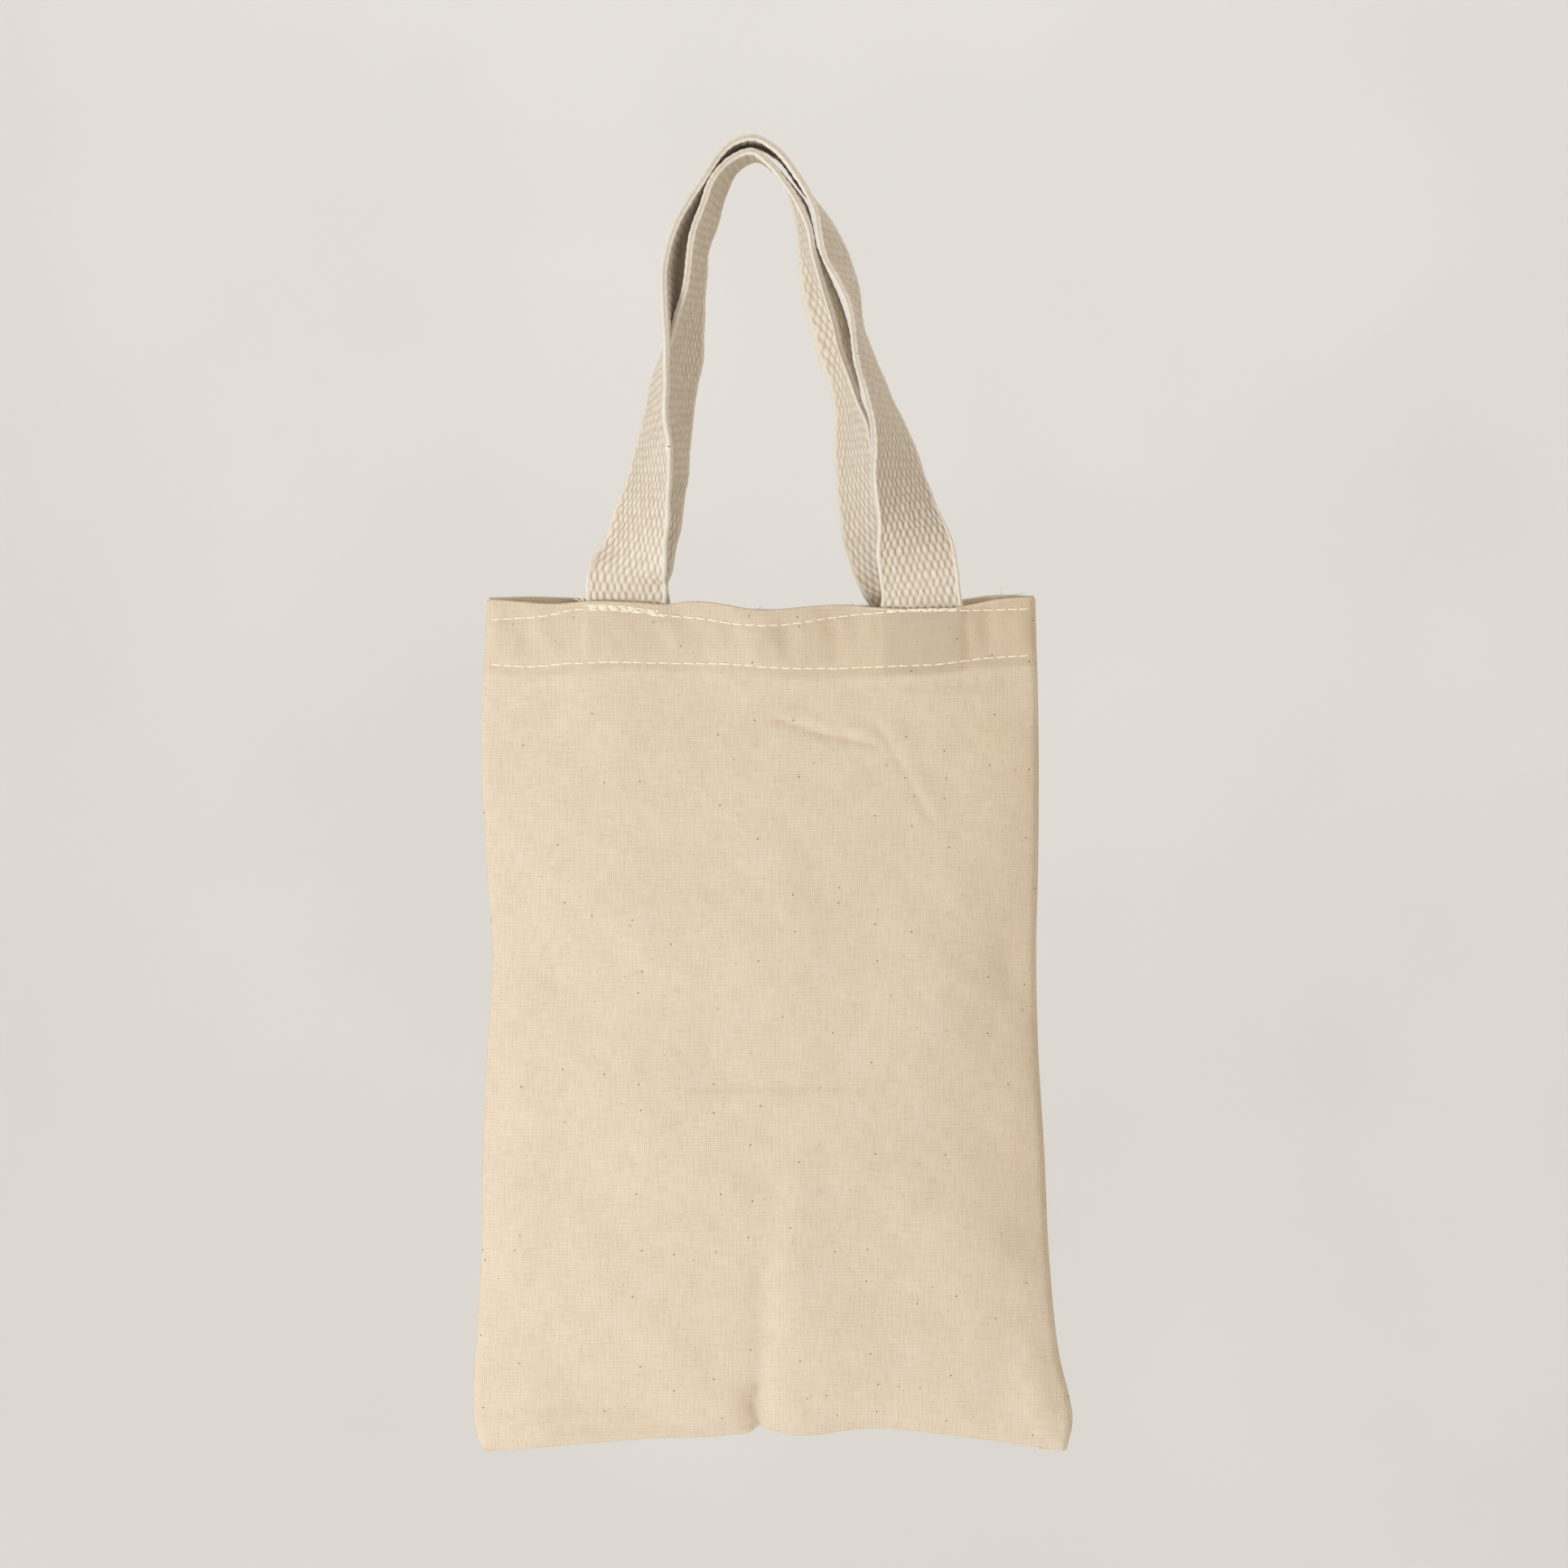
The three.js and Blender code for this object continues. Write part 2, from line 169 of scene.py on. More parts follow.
# A strap's route from its left foot to its right one: x, y, z and the angle of its width from +X. The
# first and last stations are the sewn-in ends on the inside of the hem.
FRONT_ROUTE = [
    (-37.4, -5.9, -158.5, 180), (-37.4, -5.9, -148, 180), (-37.4, -6.1, -139, 180),
    (-37.4, -6.6, -131, 180), (-37.2, -7, -128, 173), (-36.2, -7.5, -125.6, 157),
    (-34.8, -8.1, -121, 146), (-33.1, -8.7, -113.5, 138), (-31.9, -8.9, -107, 132),
    (-30.6, -8.7, -99.5, 125), (-29.5, -8.2, -91.4, 117), (-28.9, -7.6, -84.7, 111),
    (-28.2, -6.8, -78, 106), (-27.6, -5.4, -70, 102.5), (-26.7, -4.6, -63, 97),
    (-25.2, -4, -56.5, 88.5), (-24.1, -3.2, -50, 81.5), (-23.8, -2.6, -45, 80),
    (-23.1, -1.6, -35, 79.5), (-21.4, -0.8, -25.5, 80), (-17.5, 0, -16, 82), (-13, 0, -7.6, 85),
    (-8, 0, 0.3, 87), (-4.4, 0, 3.5, 87.5), (1.6, 0, 5.5, 88), (8.7, 0, 2.3, 88),
    (15.3, 0, -6.2, 88), (19, 0, -11.4, 86), (22.3, 0, -17, 81), (25.2, -0.6, -25, 73),
    (27.5, -1.2, -32, 70), (29.9, -1.8, -37.2, 74), (31.7, -2.6, -43.5, 79), (33.2, -3.2, -50, 81),
    (35, -4, -57, 79), (37.4, -5.2, -65.5, 73), (40.2, -6.6, -75.5, 70), (43, -7.8, -83.5, 64),
    (44.8, -8.5, -90.2, 58), (46.3, -8.9, -98.9, 50), (48, -8.9, -105.6, 43),
    (49.7, -8.7, -113, 33), (51.1, -8.1, -120.3, 18), (52.5, -7, -129, 4), (53.1, -6.3, -134, 0),
    (53.4, -5.9, -140, 0), (53.5, -5.7, -148, 0), (53.5, -5.7, -158.5, 0),
]
BACK_ROUTE = [
    (-37, 5.9, -158.5, 0), (-37, 5.9, -148, 0), (-37, 6.1, -139, 0), (-37, 6.8, -131, 0),
    (-36, 7.8, -125, 12), (-32.4, 8.6, -118, 34), (-28.4, 9, -111, 53), (-25.4, 9, -104, 65),
    (-23.6, 8.6, -97, 70), (-22.5, 7.8, -88, 73), (-21.9, 6.4, -79, 73), (-21.2, 5.2, -70, 69),
    (-20, 4.2, -61, 67), (-18.7, 3.4, -53, 69), (-17.3, 2.6, -45, 74), (-16.2, 1.6, -35, 78.5),
    (-15, 0.8, -25.5, 78.5), (-12.1, 0, -17, 78.5), (-9.1, 0, -8.2, 81), (-3.6, 0, -0.7, 83),
    (1.8, 0, 1.4, 85), (7.7, 0, -2.2, 86), (12.4, 0, -8.4, 87), (15.5, 0, -16.2, 92),
    (17.2, 0.4, -22, 96), (17.7, 1, -29, 98.5), (18.8, 2, -36, 102.5), (20.9, 3, -45, 105.5),
    (23.4, 4, -53, 106), (26.2, 5.2, -62, 104), (30, 6.4, -72, 104), (31.2, 7, -77, 109),
    (32.2, 7.6, -82, 114), (33.2, 8.4, -90.5, 119), (35.2, 9, -100, 127), (38, 9, -110, 139),
    (41.2, 8.6, -118.5, 154), (44.6, 7.9, -125, 167), (48, 7, -131, 177), (50, 6.2, -138, 180),
    (50.3, 5.9, -147, 180), (50.3, 5.9, -158.5, 180),
]

# The floor and the view, in metres.
FLOOR_Z = -1.3
BACKDROP_Y = 3.4
VIEW_WIDTH = 0.483  # what the camera takes in at the bag
VIEW_CENTRE = (0.011, -0.1923)
CAMERA_DISTANCE = 1.6
SENSOR = 36  # the camera's own millimetres


def middle_x(node):
    """The middle of a CAD node's box, left to right, in mm."""
    low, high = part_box(node)
    return (low.x + high.x) / 2 / MM


# Where the ends of each strap lie, left and right.
FEET = {word: [middle_x(f"{word}_handle_end_{hand}") for hand in ("left", "right")]
        for word in ("front", "back")}


# ---------------------------------------------------------------- curves and noise

def smooth_line(points, at):
    """The value at each place of a smooth line through (place, value) points."""
    place, value = np.array(points, float).T
    slope = np.gradient(value, place)
    i = np.clip(np.searchsorted(place, at) - 1, 0, len(place) - 2)
    gap = place[i + 1] - place[i]
    t = np.clip((at - place[i]) / gap, 0, 1)
    rise = value[i + 1] - value[i]
    return (value[i] + rise * t * t * (3 - 2 * t)
            + gap * t * (1 - t) * (slope[i] * (1 - t) - slope[i + 1] * t))


def wobble(x, z, size, seed):
    """Smooth noise of about unit height whose swells are size across."""
    draw = np.random.default_rng(seed)
    total = np.zeros(np.broadcast(x, z).shape)
    WAVES = 22
    for _ in range(WAVES):
        turn, phase = draw.uniform(0, 2 * math.pi, 2)
        k = 2 * math.pi / size * draw.uniform(0.55, 1.3)
        total += np.cos(k * (x * math.cos(turn) + z * math.sin(turn)) + phase)
    return total / math.sqrt(WAVES / 2)


def fold_height(x, z, folds):
    """The height of a list of soft folds at each point."""
    total = np.zeros(x.shape)
    for (x0, z0), (x1, z1), width, height in folds:
        run, rise = x1 - x0, z1 - z0
        length = math.hypot(run, rise)
        along = ((x - x0) * run + (z - z0) * rise) / length ** 2
        over = np.clip(along, 0, 1)
        away = np.hypot(x - x0 - over * run, z - z0 - over * rise)
        total += height * np.exp(-(away / width) ** 2)
    return total


# ---------------------------------------------------------------- the hanging cloth

def ease_in(distance, over):
    """0 at an edge and 1 at over from it, rising like a quarter circle."""
    t = np.clip(distance / over, 0, 1)
    return np.sqrt(np.clip(1 - (1 - t) ** 2, 0, 1))


def left_at(z):
    """The left side of a face's grid at each height."""
    return smooth_line(LEFT_EDGE, z) + EDGE_ROLL


def right_at(z):
    """The right side of a face's grid at each height."""
    return smooth_line(RIGHT_EDGE, z) - EDGE_ROLL


def bottom_at(x):
    """The bottom of a face's grid at each place across."""
    return smooth_line(BOTTOM_EDGE, x) + EDGE_ROLL


def mouth_at(side, x):
    """The top of a face's grid at each place across."""
    return smooth_line(FRONT_MOUTH if side < 0 else BACK_MOUTH, x) - MOUTH_ROLL


def spot(side, across, down):
    """x and z of the cloth at a share across and down its face."""
    z = MOUTH_Z + (BOTTOM_Z - MOUTH_Z) * down
    for _ in range(3):
        left, right = left_at(z), right_at(z)
        x = left + (right - left) * across
        z = (1 - down) * mouth_at(side, x) + down * bottom_at(x)
    return x, z


def hem_relief(side, x, z, mouth, behind):
    """How the sewn hem stands out: dips along its rows, pleats between them and a step below."""
    ROW_DIPS = ((UPPER_ROW, 0.32), (LOWER_ROW, 0.4))
    DIP_REACH, PUCKER = 1.1, 0.35
    FULLNESS = 0.5
    STEP_HEIGHT, STEP_BELOW, STEP_REACH = 0.3, 4.2, 1.6
    relief = np.zeros(x.shape)
    for row, dip in ROW_DIPS:
        off = z - smooth_line(row, x)
        pucker = 1 + PUCKER * np.cos(2 * math.pi * x / STITCH)
        relief -= dip * pucker * np.exp(-(off / DIP_REACH) ** 2)
    low = smooth_line(LOWER_ROW, x)
    between = np.clip((z - low) / (mouth - low), 0, 1)
    pleats = 0.3 * wobble(x, 0.25 * z, 15, 23 + side) + 0.2 * wobble(x, 0.3 * z, 8, 29 + side)
    relief += (FULLNESS + pleats * (1 - behind)) * np.sin(math.pi * between) ** 0.7
    step = STEP_HEIGHT * np.exp(-((z - low + STEP_BELOW) / STEP_REACH) ** 2)
    return relief + step * (0.6 + 0.4 * wobble(x, z, 24, 19))


def depth(side, x, z):
    """Distance of the middle of a face's cloth from the seam plane."""
    MOUTH_FULL, BODY_FULL = 6.2, 6.2  # at the mouth, and how much more further down
    FULL_FROM, CLOSES_FROM = 0.4, 0.62  # shares of the way down
    ROUND, ROUND_REACH = 1.2, 2.2  # the roll of the cloth at its seamed edges
    BACKED = 0.55  # how far a strap's end behind it pushes the hem out
    left, right = left_at(z), right_at(z)
    bottom = bottom_at(x)
    mouth = mouth_at(side, x)
    in_x = np.minimum(x - left, right - x)
    in_z = z - bottom
    down = np.clip((mouth - z) / (mouth - bottom), 0, 1)

    # The full shape: crowned across, fuller below the mouth and closing towards the bottom.
    from_middle = np.clip((2 * x - left - right) / (right - left), -1, 1)
    crown = (1 - np.abs(from_middle) ** 2.3) ** 0.8
    fullness = MOUTH_FULL + BODY_FULL * np.clip(down / FULL_FROM, 0, 1) ** 1.3
    closed = np.clip((down - CLOSES_FROM) / (1 - CLOSES_FROM), 0, 1)
    closing = np.sqrt(np.clip(1 - closed ** 2, 0, 1)) ** 1.2
    round_edge = ease_in(in_x, ROUND_REACH) * ease_in(in_z, ROUND_REACH)

    # Ripples of three sizes, folds, and the wave of the mouth.
    soft = ease_in(in_x, 16) * ease_in(in_z, 14)
    ripple = 0.34 * wobble(x, z, 52, 3 + side) + 0.09 * wobble(x, z, 19, 7 + side)
    ripple += 0.04 * wobble(x, z, 6.5, 11 + side)
    folds = fold_height(x, z, FRONT_FOLDS if side < 0 else BACK_FOLDS)
    mouth_wave = 1.1 * wobble(x, 0 * z, 60, 31 + side) * np.exp(-down * 9)
    mouth_wave *= 1 - np.abs(from_middle) ** 3

    behind = webbing_behind(side, x, np.minimum(z, mouth - 1), 1.4)
    hem = hem_relief(side, x, z, mouth, behind) + BACKED * behind
    return (EDGE_Y + ROUND * round_edge + fullness * crown * closing
            + (ripple + folds + mouth_wave) * soft + hem * ease_in(in_x, 6))


# ---------------------------------------------------------------- mesh making

def mesh_object(name, points, faces, uv=None, layers=None):
    """A mesh object from points in mm, quads and triangles, a uv for each point, and named values."""
    mesh = bpy.data.meshes.new(name)
    mesh.from_pydata((np.asarray(points, float) * MM).tolist(), [], [list(f) for f in faces])
    if uv is not None:
        corner = np.empty(len(mesh.loops), dtype=np.int32)
        mesh.loops.foreach_get("vertex_index", corner)
        flat = mesh.uv_layers.new(name="cloth")
        flat.uv.foreach_set("vector", (np.asarray(uv, np.float32)[corner] * MM).ravel())
    for key, values in (layers or {}).items():
        layer = mesh.attributes.new(key, "FLOAT", "POINT")
        layer.data.foreach_set("value", np.asarray(values, np.float32))
    mesh.polygons.foreach_set("use_smooth", np.ones(len(mesh.polygons), bool))
    mesh.update()
    made = bpy.data.objects.new(name, mesh)
    bpy.context.scene.collection.objects.link(made)
    return made


class Cloth:
    """Grids of points that are joined where their edges meet."""

    def __init__(self):
        self.points, self.uv, self.faces = [], [], []
        # These layers carry painted shade: over the straps' ends, over the turned-in hem and along
        # creases.
        self.layers = {"backing": [], "double": [], "stain": []}
        self.count = 0

    def grid(self, points, uv, **layers):
        """Add a grid of points with their places in the flat cloth and any painted layers."""
        rows, columns = points.shape[:2]
        index = self.count + np.arange(rows * columns).reshape(rows, columns)
        quads = np.stack([index[:-1, :-1], index[1:, :-1], index[1:, 1:], index[:-1, 1:]], -1)
        self.points.append(points.reshape(-1, 3))
        self.uv.append(uv.reshape(-1, 2))
        self.faces.append(quads.reshape(-1, 4))
        for key, values in self.layers.items():
            values.append(layers[key].ravel() if key in layers else np.zeros(rows * columns))
        self.count += rows * columns

    def object(self, name, thickness):
        """The grids as one sheet with a thickness."""
        made = mesh_object(name, np.concatenate(self.points), np.concatenate(self.faces).tolist(),
                           np.concatenate(self.uv),
                           {key: np.concatenate(values) for key, values in self.layers.items()})
        work = bmesh.new()
        work.from_mesh(made.data)
        bmesh.ops.remove_doubles(work, verts=work.verts, dist=0.02 * MM)
        bmesh.ops.recalc_face_normals(work, faces=work.faces)
        work.to_mesh(made.data)
        work.free()
        made.data.polygons.foreach_set("use_smooth", np.ones(len(made.data.polygons), bool))
        thick = made.modifiers.new("thickness", "SOLIDIFY")
        thick.thickness = thickness * MM
        thick.offset = 0
        return made


def webbing_behind(side, x, z, soft=0.8):
    """1 where a strap's end lies behind the hem, falling off over soft at its edges."""
    total = np.zeros(x.shape)
    low = smooth_line(LOWER_ROW, x) - HEM_BELOW_ROW
    for foot in FEET["front" if side < 0 else "back"]:
        inside = np.clip((WEB_WIDTH / 2 - np.abs(x - foot)) / soft + 0.5, 0, 1)
        total = np.maximum(total, inside * np.clip((z - low) / soft + 0.5, 0, 1))
    return total


def painted_strap_end_shade(side, x, z):
    """Painted shade where a strap's end lies behind the hem: the left end much less than the right."""
    return webbing_behind(side, x, z) * np.where(x < 0, 0.15, 1.0)


def painted_hem_shade(x, z):
    """Painted shade: 1 and more where the turned-in hem lies behind the face, darker towards the right.
    """
    low = smooth_line(LOWER_ROW, x) - HEM_BELOW_ROW
    return np.clip((z - low) / 0.8 + 0.5, 0, 1) * (1 + 2.2 * np.clip(x / 80, 0, 1))


def turned_hem(side, top):
    """Rows of cloth over the mouth and down inside to the hem's end, and how far each has run."""
    TURN, DOWN = 6, 24  # steps over the top and down the inside
    rows, run = [], []
    for i in range(TURN + 1):
        a = math.pi * i / TURN
        over = -side * LAYER_STEP * (1 - math.cos(a)) / 2
        rows.append(top + np.array([0, over, LAYER_STEP / 2 * math.sin(a)]))
        run.append(i * 0.25)
    x, z = top[:, 0], top[:, 2]
    hem_low = smooth_line(LOWER_ROW, x) - HEM_BELOW_ROW
    for i in range(1, DOWN + 1):
        t = i / DOWN
        hem_z = z + (hem_low - z) * t
        hem_y = side * (depth(side, x, hem_z) - LAYER_STEP - 0.25 * math.sin(math.pi * t))
        rows.append(np.stack([x, hem_y, hem_z], -1))
        run.append(1.5 + 21 * t)
    return np.array(rows), np.array(run)


def turned_in(side, edge, inward):
    """Rows of cloth folded over a seamed edge and in as its allowance, and how far each has run."""
    FOLD, FLAT = 4, 5  # steps round the fold and across the allowance
    step = np.array([0, -side * (EDGE_Y - SEAM_Y), 0])
    rows, run = [], []
    for i in range(FOLD + 1):
        a = math.pi * i / FOLD
        rows.append(edge - inward * FOLD_OUT * math.sin(a) + step * (1 - math.cos(a)) / 2)
        run.append(FOLD_OUT * i)
    for i in range(1, FLAT + 1):
        rows.append(edge + inward * ALLOWANCE * i / FLAT + step)
        run.append(FOLD_OUT * FOLD + ALLOWANCE * i / FLAT)
    return np.array(rows), np.array(run)


def make_panel(side, name):
    """One panel with its turned-in hem and seam allowances, as a single cut of cloth."""
    COLUMNS, ROWS = 172, 222
    HEM_FLAT_Z = -130  # where the hem's weave starts in the flat cloth
    cloth = Cloth()
    # Denser rows in the hem, where the stitching puckers the cloth, and columns at the sides.
    share = np.linspace(0, 1, ROWS)
    down = 0.62 * share + 0.38 * share ** 2.2
    across = np.linspace(0, 1, COLUMNS)
    across = across - 0.02 * np.sin(2 * math.pi * across)
    u, v = np.meshgrid(across, down)
    x, z = spot(side, u, v)
    face = np.stack([x, side * depth(side, x, z), z], -1)
    # Painted shade along creases and slopes and beside the right strap's end.
    stain = np.clip(fold_height(x, z, FRONT_CREASE_SHADE if side < 0 else BACK_CREASE_SHADE), 0, 1.3)
    # Painted shade goes on as layers: where a strap's end lies behind the hem, and over the turned-in
    # hem.
    cloth.grid(face, np.stack([x, z], -1),
               backing=painted_strap_end_shade(side, x, z), double=painted_hem_shade(x, z), stain=stain)

    hem, run = turned_hem(side, face[0])
    hem_x = np.broadcast_to(face[0, :, 0], hem.shape[:2])
    cloth.grid(hem, np.stack([hem_x, np.broadcast_to(HEM_FLAT_Z + run[:, None], hem.shape[:2])], -1))

    for edge, inward in ((face[:, 0], (1, 0, 0)), (face[:, -1], (-1, 0, 0)), (face[-1], (0, 0, 1))):
        inward = np.array(inward)
        flap, run = turned_in(side, edge, inward)
        cloth.grid(flap, edge[:, [0, 2]] - run[:, None, None] * inward[[0, 2]])
    return cloth.object(name, CLOTH)


# ---------------------------------------------------------------- webbing

def length_run(points):
    """The length travelled along a line at each of its points."""
    return np.concatenate([[0], np.cumsum(np.linalg.norm(np.diff(points, axis=0), axis=1))])


def resampled(route, step):
    """Evenly spaced points of a smooth line through a route, their width angles and the length run."""
    FINE = 4000
    stations = np.array(route, float)
    chord = length_run(stations[:, :3])
    fine = np.linspace(0, chord[-1], FINE)
    line = np.stack([smooth_line(np.stack([chord, stations[:, k]], 1), fine) for k in range(4)], 1)
    travelled = length_run(line[:, :3])
    at = np.linspace(0, travelled[-1], int(travelled[-1] / step) + 1)
    line = np.stack([np.interp(at, travelled, line[:, k]) for k in range(4)], 1)
    return line[:, :3], line[:, 3], at


def blurred(values, reach):
    """Rows of values along a line, smoothed with a Gaussian whose reach is in samples."""
    offsets = np.arange(-3 * reach, 3 * reach + 1)
    weights = np.exp(-(offsets / reach) ** 2)
    weights /= weights.sum()
    padded = np.pad(values, ((3 * reach, 3 * reach), (0, 0)), mode="edge")
    return np.stack([np.convolve(column, weights, mode="valid") for column in padded.T], 1)


def relief(across, along, shift):
    """The webbing's woven surface, from 0 in its valleys to 1 on its grains."""
    height = np.zeros(across.shape)
    for step in (0, 0.5):
        u = ((across + shift) / GRAIN[0] + step + 0.5) % 1 - 0.5
        v = (along / (2 * GRAIN[1]) + step + 0.5) % 1 - 0.5
        reach = (u * GRAIN[0] / GRAIN_HALF[0]) ** 2 + (v * 2 * GRAIN[1] / GRAIN_HALF[1]) ** 2
        height = np.maximum(height, np.sqrt(np.clip(1 - reach, 0, 1)))
    edge_in = WEB_WIDTH / 2 - np.abs(across)
    turn = along / GRAIN[1] + 0.4 * np.sign(across) * np.sign(shift + 0.1) * edge_in
    braid = 0.15 + 0.85 * np.abs(np.cos(math.pi * turn)) ** 0.5
    return np.where(edge_in < SELVEDGE, braid, height)


def half_thickness(edge_in, height):
    """Half the strap's thickness: the woven middle and a round cord along each edge."""
    body = WEB_THICKNESS / 2 - GRAIN_HEIGHT * (1 - height)
    cord = np.sqrt(np.clip(1 - (edge_in / (SELVEDGE / 2) - 1) ** 2, 0, 1))
    cord = cord * (SELVEDGE_RADIUS - 0.38 * (1 - height))
    inner = np.where(edge_in > SELVEDGE / 2, body * 0.7, 0)
    return np.where(edge_in < SELVEDGE, np.maximum(cord, inner), body)


def unit(vectors):
    """Each row's direction."""
    return vectors / np.linalg.norm(vectors, axis=1)[:, None]


def strap_line(route, step):
    """A strap's middle line, the directions of its width and its face, and the length run."""
    centre, angle, along = resampled(route, step)
    ahead = unit(np.gradient(centre, axis=0))
    level = np.stack([np.cos(np.radians(angle)), np.sin(np.radians(angle)), 0 * angle], 1)
    width = level - 0.75 * (level * ahead).sum(1)[:, None] * ahead
    width = unit(blurred(unit(width), 4))
    return centre, width, unit(np.cross(ahead, width)), along


def strap_bow(centre, out, bow):
    """How far a strap's middle stands out between its edges: its legs bow outwards by about bow.

    The right leg bows most, and again just below the loop.
    """
    LEG_Z, LEG_REACH, LEFT_SHARE = -52, 24, 0.22
    LOOP_Z, LOOP_REACH, LOOP_SHARE = -15.5, 5.5, 0.25
    INSIDE = [0.8, 0, -60]  # a point between the legs
    right = centre[:, 0] > 4
    leg = np.exp(-((centre[:, 2] - LEG_Z) / LEG_REACH) ** 2) * np.where(right, 1, LEFT_SHARE)
    leg += LOOP_SHARE * np.exp(-((centre[:, 2] - LOOP_Z) / LOOP_REACH) ** 2) * right
    away = np.sign((out * (centre - INSIDE)).sum(1))
    return bow * leg * away


def make_strap(name, side, route, bow, seed):
    """One strap from foot to foot, with its woven grains and braided edges."""
    STEP, COLUMNS = 0.62, 76
    FOOT = 28  # the sewn ends don't sway
    UNDERSIDE = 40  # the underside's weave lies beside the upper one's in the flat cloth
    centre, width, out, along = strap_line(route, STEP)
    # Columns crowd towards the edges, where the cords are round.
    share = np.linspace(-1, 1, COLUMNS)
    across = (share + 0.075 * np.sin(math.pi * share)) * WEB_WIDTH / 2
    a, s = np.meshgrid(across, along)
    edge_in = WEB_WIDTH / 2 - np.abs(a)
    sway = 0.2 * wobble(a, s, 40, seed) + 0.1 * wobble(a, s, 15, seed + 1)
    sway *= np.clip((s - FOOT) / 20, 0, 1) * np.clip((along[-1] - FOOT - s) / 20, 0, 1)
    cup = strap_bow(centre, out, bow)[:, None] * (1 - (2 * a / WEB_WIDTH) ** 2)
    stray = 0.2 * wobble(0 * a, s, 9, seed + 2) * (np.abs(a) / (WEB_WIDTH / 2)) ** 4
    warped_a = a + 0.14 * wobble(a, s, 8, seed + 5)
    warped_s = s + 0.2 * wobble(a, s, 11, seed + 6)
    uneven = 0.92 + 0.08 * wobble(a, s, 4, seed + 7)
    rings, values = [], []
    for face, shift in ((1, 0), (-1, GRAIN[0] / 2)):
        height = relief(warped_a, warped_s, shift) * uneven
        lift = face * half_thickness(edge_in, height)
        points = (centre[:, None] + (a + stray * np.sign(a))[..., None] * width[:, None]
                  + (lift + sway + cup)[..., None] * out[:, None])
        # The sewn ends lie against the inside of the hem.
        x, z = points[..., 0], points[..., 2]
        mouth = mouth_at(side, x)
        sewn = 1 - np.clip((z - mouth) / SEWN_BLEND, 0, 1)
        sewn = sewn * sewn * (3 - 2 * sewn)
        foot = side * (depth(side, x, np.minimum(z, mouth)) - BEHIND_FACE)
        points[..., 1] += sewn * (foot - centre[:, None, 1])
        # Painted shade and highlight for the material: the weave's height, with the braided cords kept
        # lighter.
        shade = np.where(edge_in < SELVEDGE, 0.62 + 0.38 * height, height)
        rings.append(points[:, ::face])
        values.append(shade[:, ::face])
    place = np.concatenate([a, a[:, ::-1] + UNDERSIDE], 1)
    run = np.broadcast_to(along[:, None], place.shape)
    faces = closed_strip(*place.shape)
    return mesh_object(name, np.concatenate(rings, 1).reshape(-1, 3), faces,
                       np.stack([place, run], -1).reshape(-1, 2),
                       {"relief": np.concatenate(values, 1).ravel()})


def closed_strip(rows, columns):
    """The faces of a flat tube of rings, each ring up one face and back along the other."""
    index = np.arange(rows * columns).reshape(rows, columns)
    after = np.roll(index, -1, axis=1)
    faces = np.stack([index[:-1], index[1:], after[1:], after[:-1]], -1).reshape(-1, 4).tolist()
    for row, turn in ((0, 1), (rows - 1, -1)):
        for i in range(columns // 2 - 1):
            back = columns - 1 - i
            quad = [index[row, i], index[row, i + 1], index[row, back - 1], index[row, back]]
            faces.append(quad[::turn])
    return faces


# ---------------------------------------------------------------- thread

def tube(points, radius, sides):
    """Points and faces of a closed round tube along a line."""
    line = np.asarray(points, float)
    ahead = unit(np.gradient(line, axis=0))
    up = np.where(np.abs(ahead[:, 1:2]) < 0.9, [[0, 1, 0]], [[1, 0, 0]])
    side = unit(np.cross(ahead, up))
    top = np.cross(side, ahead)
    turn = np.arange(sides) * 2 * math.pi / sides
    spokes = (np.cos(turn)[None, :, None] * side[:, None]
              + np.sin(turn)[None, :, None] * top[:, None])
    ring = line[:, None] + radius * spokes
    index = np.arange(len(line) * sides).reshape(len(line), sides)
    after = np.roll(index, -1, axis=1)
    quads = np.stack([index[:-1], after[:-1], after[1:], index[1:]], -1).reshape(-1, 4).tolist()
    ends = [index[0][::-1].tolist(), index[-1].tolist()]
    return ring.reshape(-1, 3), quads + ends


def thread_object(name, lines):
    """One object from many (points, radius) tubes."""
    points, faces, uvs, count = [], [], [], 0
    for line, radius in lines:
        ring, quads = tube(line, radius, TUBE_SIDES)
        round_it = np.tile(np.arange(TUBE_SIDES) / TUBE_SIDES, len(line))
        uvs.append(np.stack([round_it, np.repeat(length_run(line), TUBE_SIDES)], 1))
        points.append(ring)
        faces += [[i + count for i in face] for face in quads]
        count += len(ring)
    return mesh_object(name, np.concatenate(points), faces, np.concatenate(uvs))


def stitch_line(a, b, out, lift):
    """A stitch that arches from a to b, sinking into the cloth at both ends."""
    t = np.linspace(0, 1, 8)
    arch = np.minimum(1, 2.6 * np.minimum(t, 1 - t)) ** 0.6
    return a + (b - a) * t[:, None] + out * (lift * arch - 0.3)[:, None]


def row_stitches(side, row, start, end, inside, draw, length=STITCH, gap=STITCH_GAP, lift=0.5):
    """The stitches of one hem row, on the outside or the inside of the bag."""
    lines = []
    x = start
    while x < end - 1:
        step = length * draw.uniform(0.92, 1.08)
        ends = np.array([x + gap / 2, min(x + step, end) - gap / 2])
        z = smooth_line(row, ends) + draw.uniform(-0.08, 0.08, 2)
        y = depth(side, ends, z)
        if inside:
            y = y - LAYER_STEP - CLOTH / 2
            under = webbing_behind(side, ends, z) > 0.5
            y = y - np.where(under, WEB_THICKNESS + 0.25, 0)
            out = np.array([0, -side, 0])
        else:
            y = y + CLOTH / 2
            out = np.array([0, side, 0])
        points = np.stack([ends, side * y, z], 1)
        stitch = stitch_line(points[0], points[1], out, lift * draw.uniform(0.25, 1))
        lines.append((stitch, STITCH_RADIUS))
        x += step
    return lines


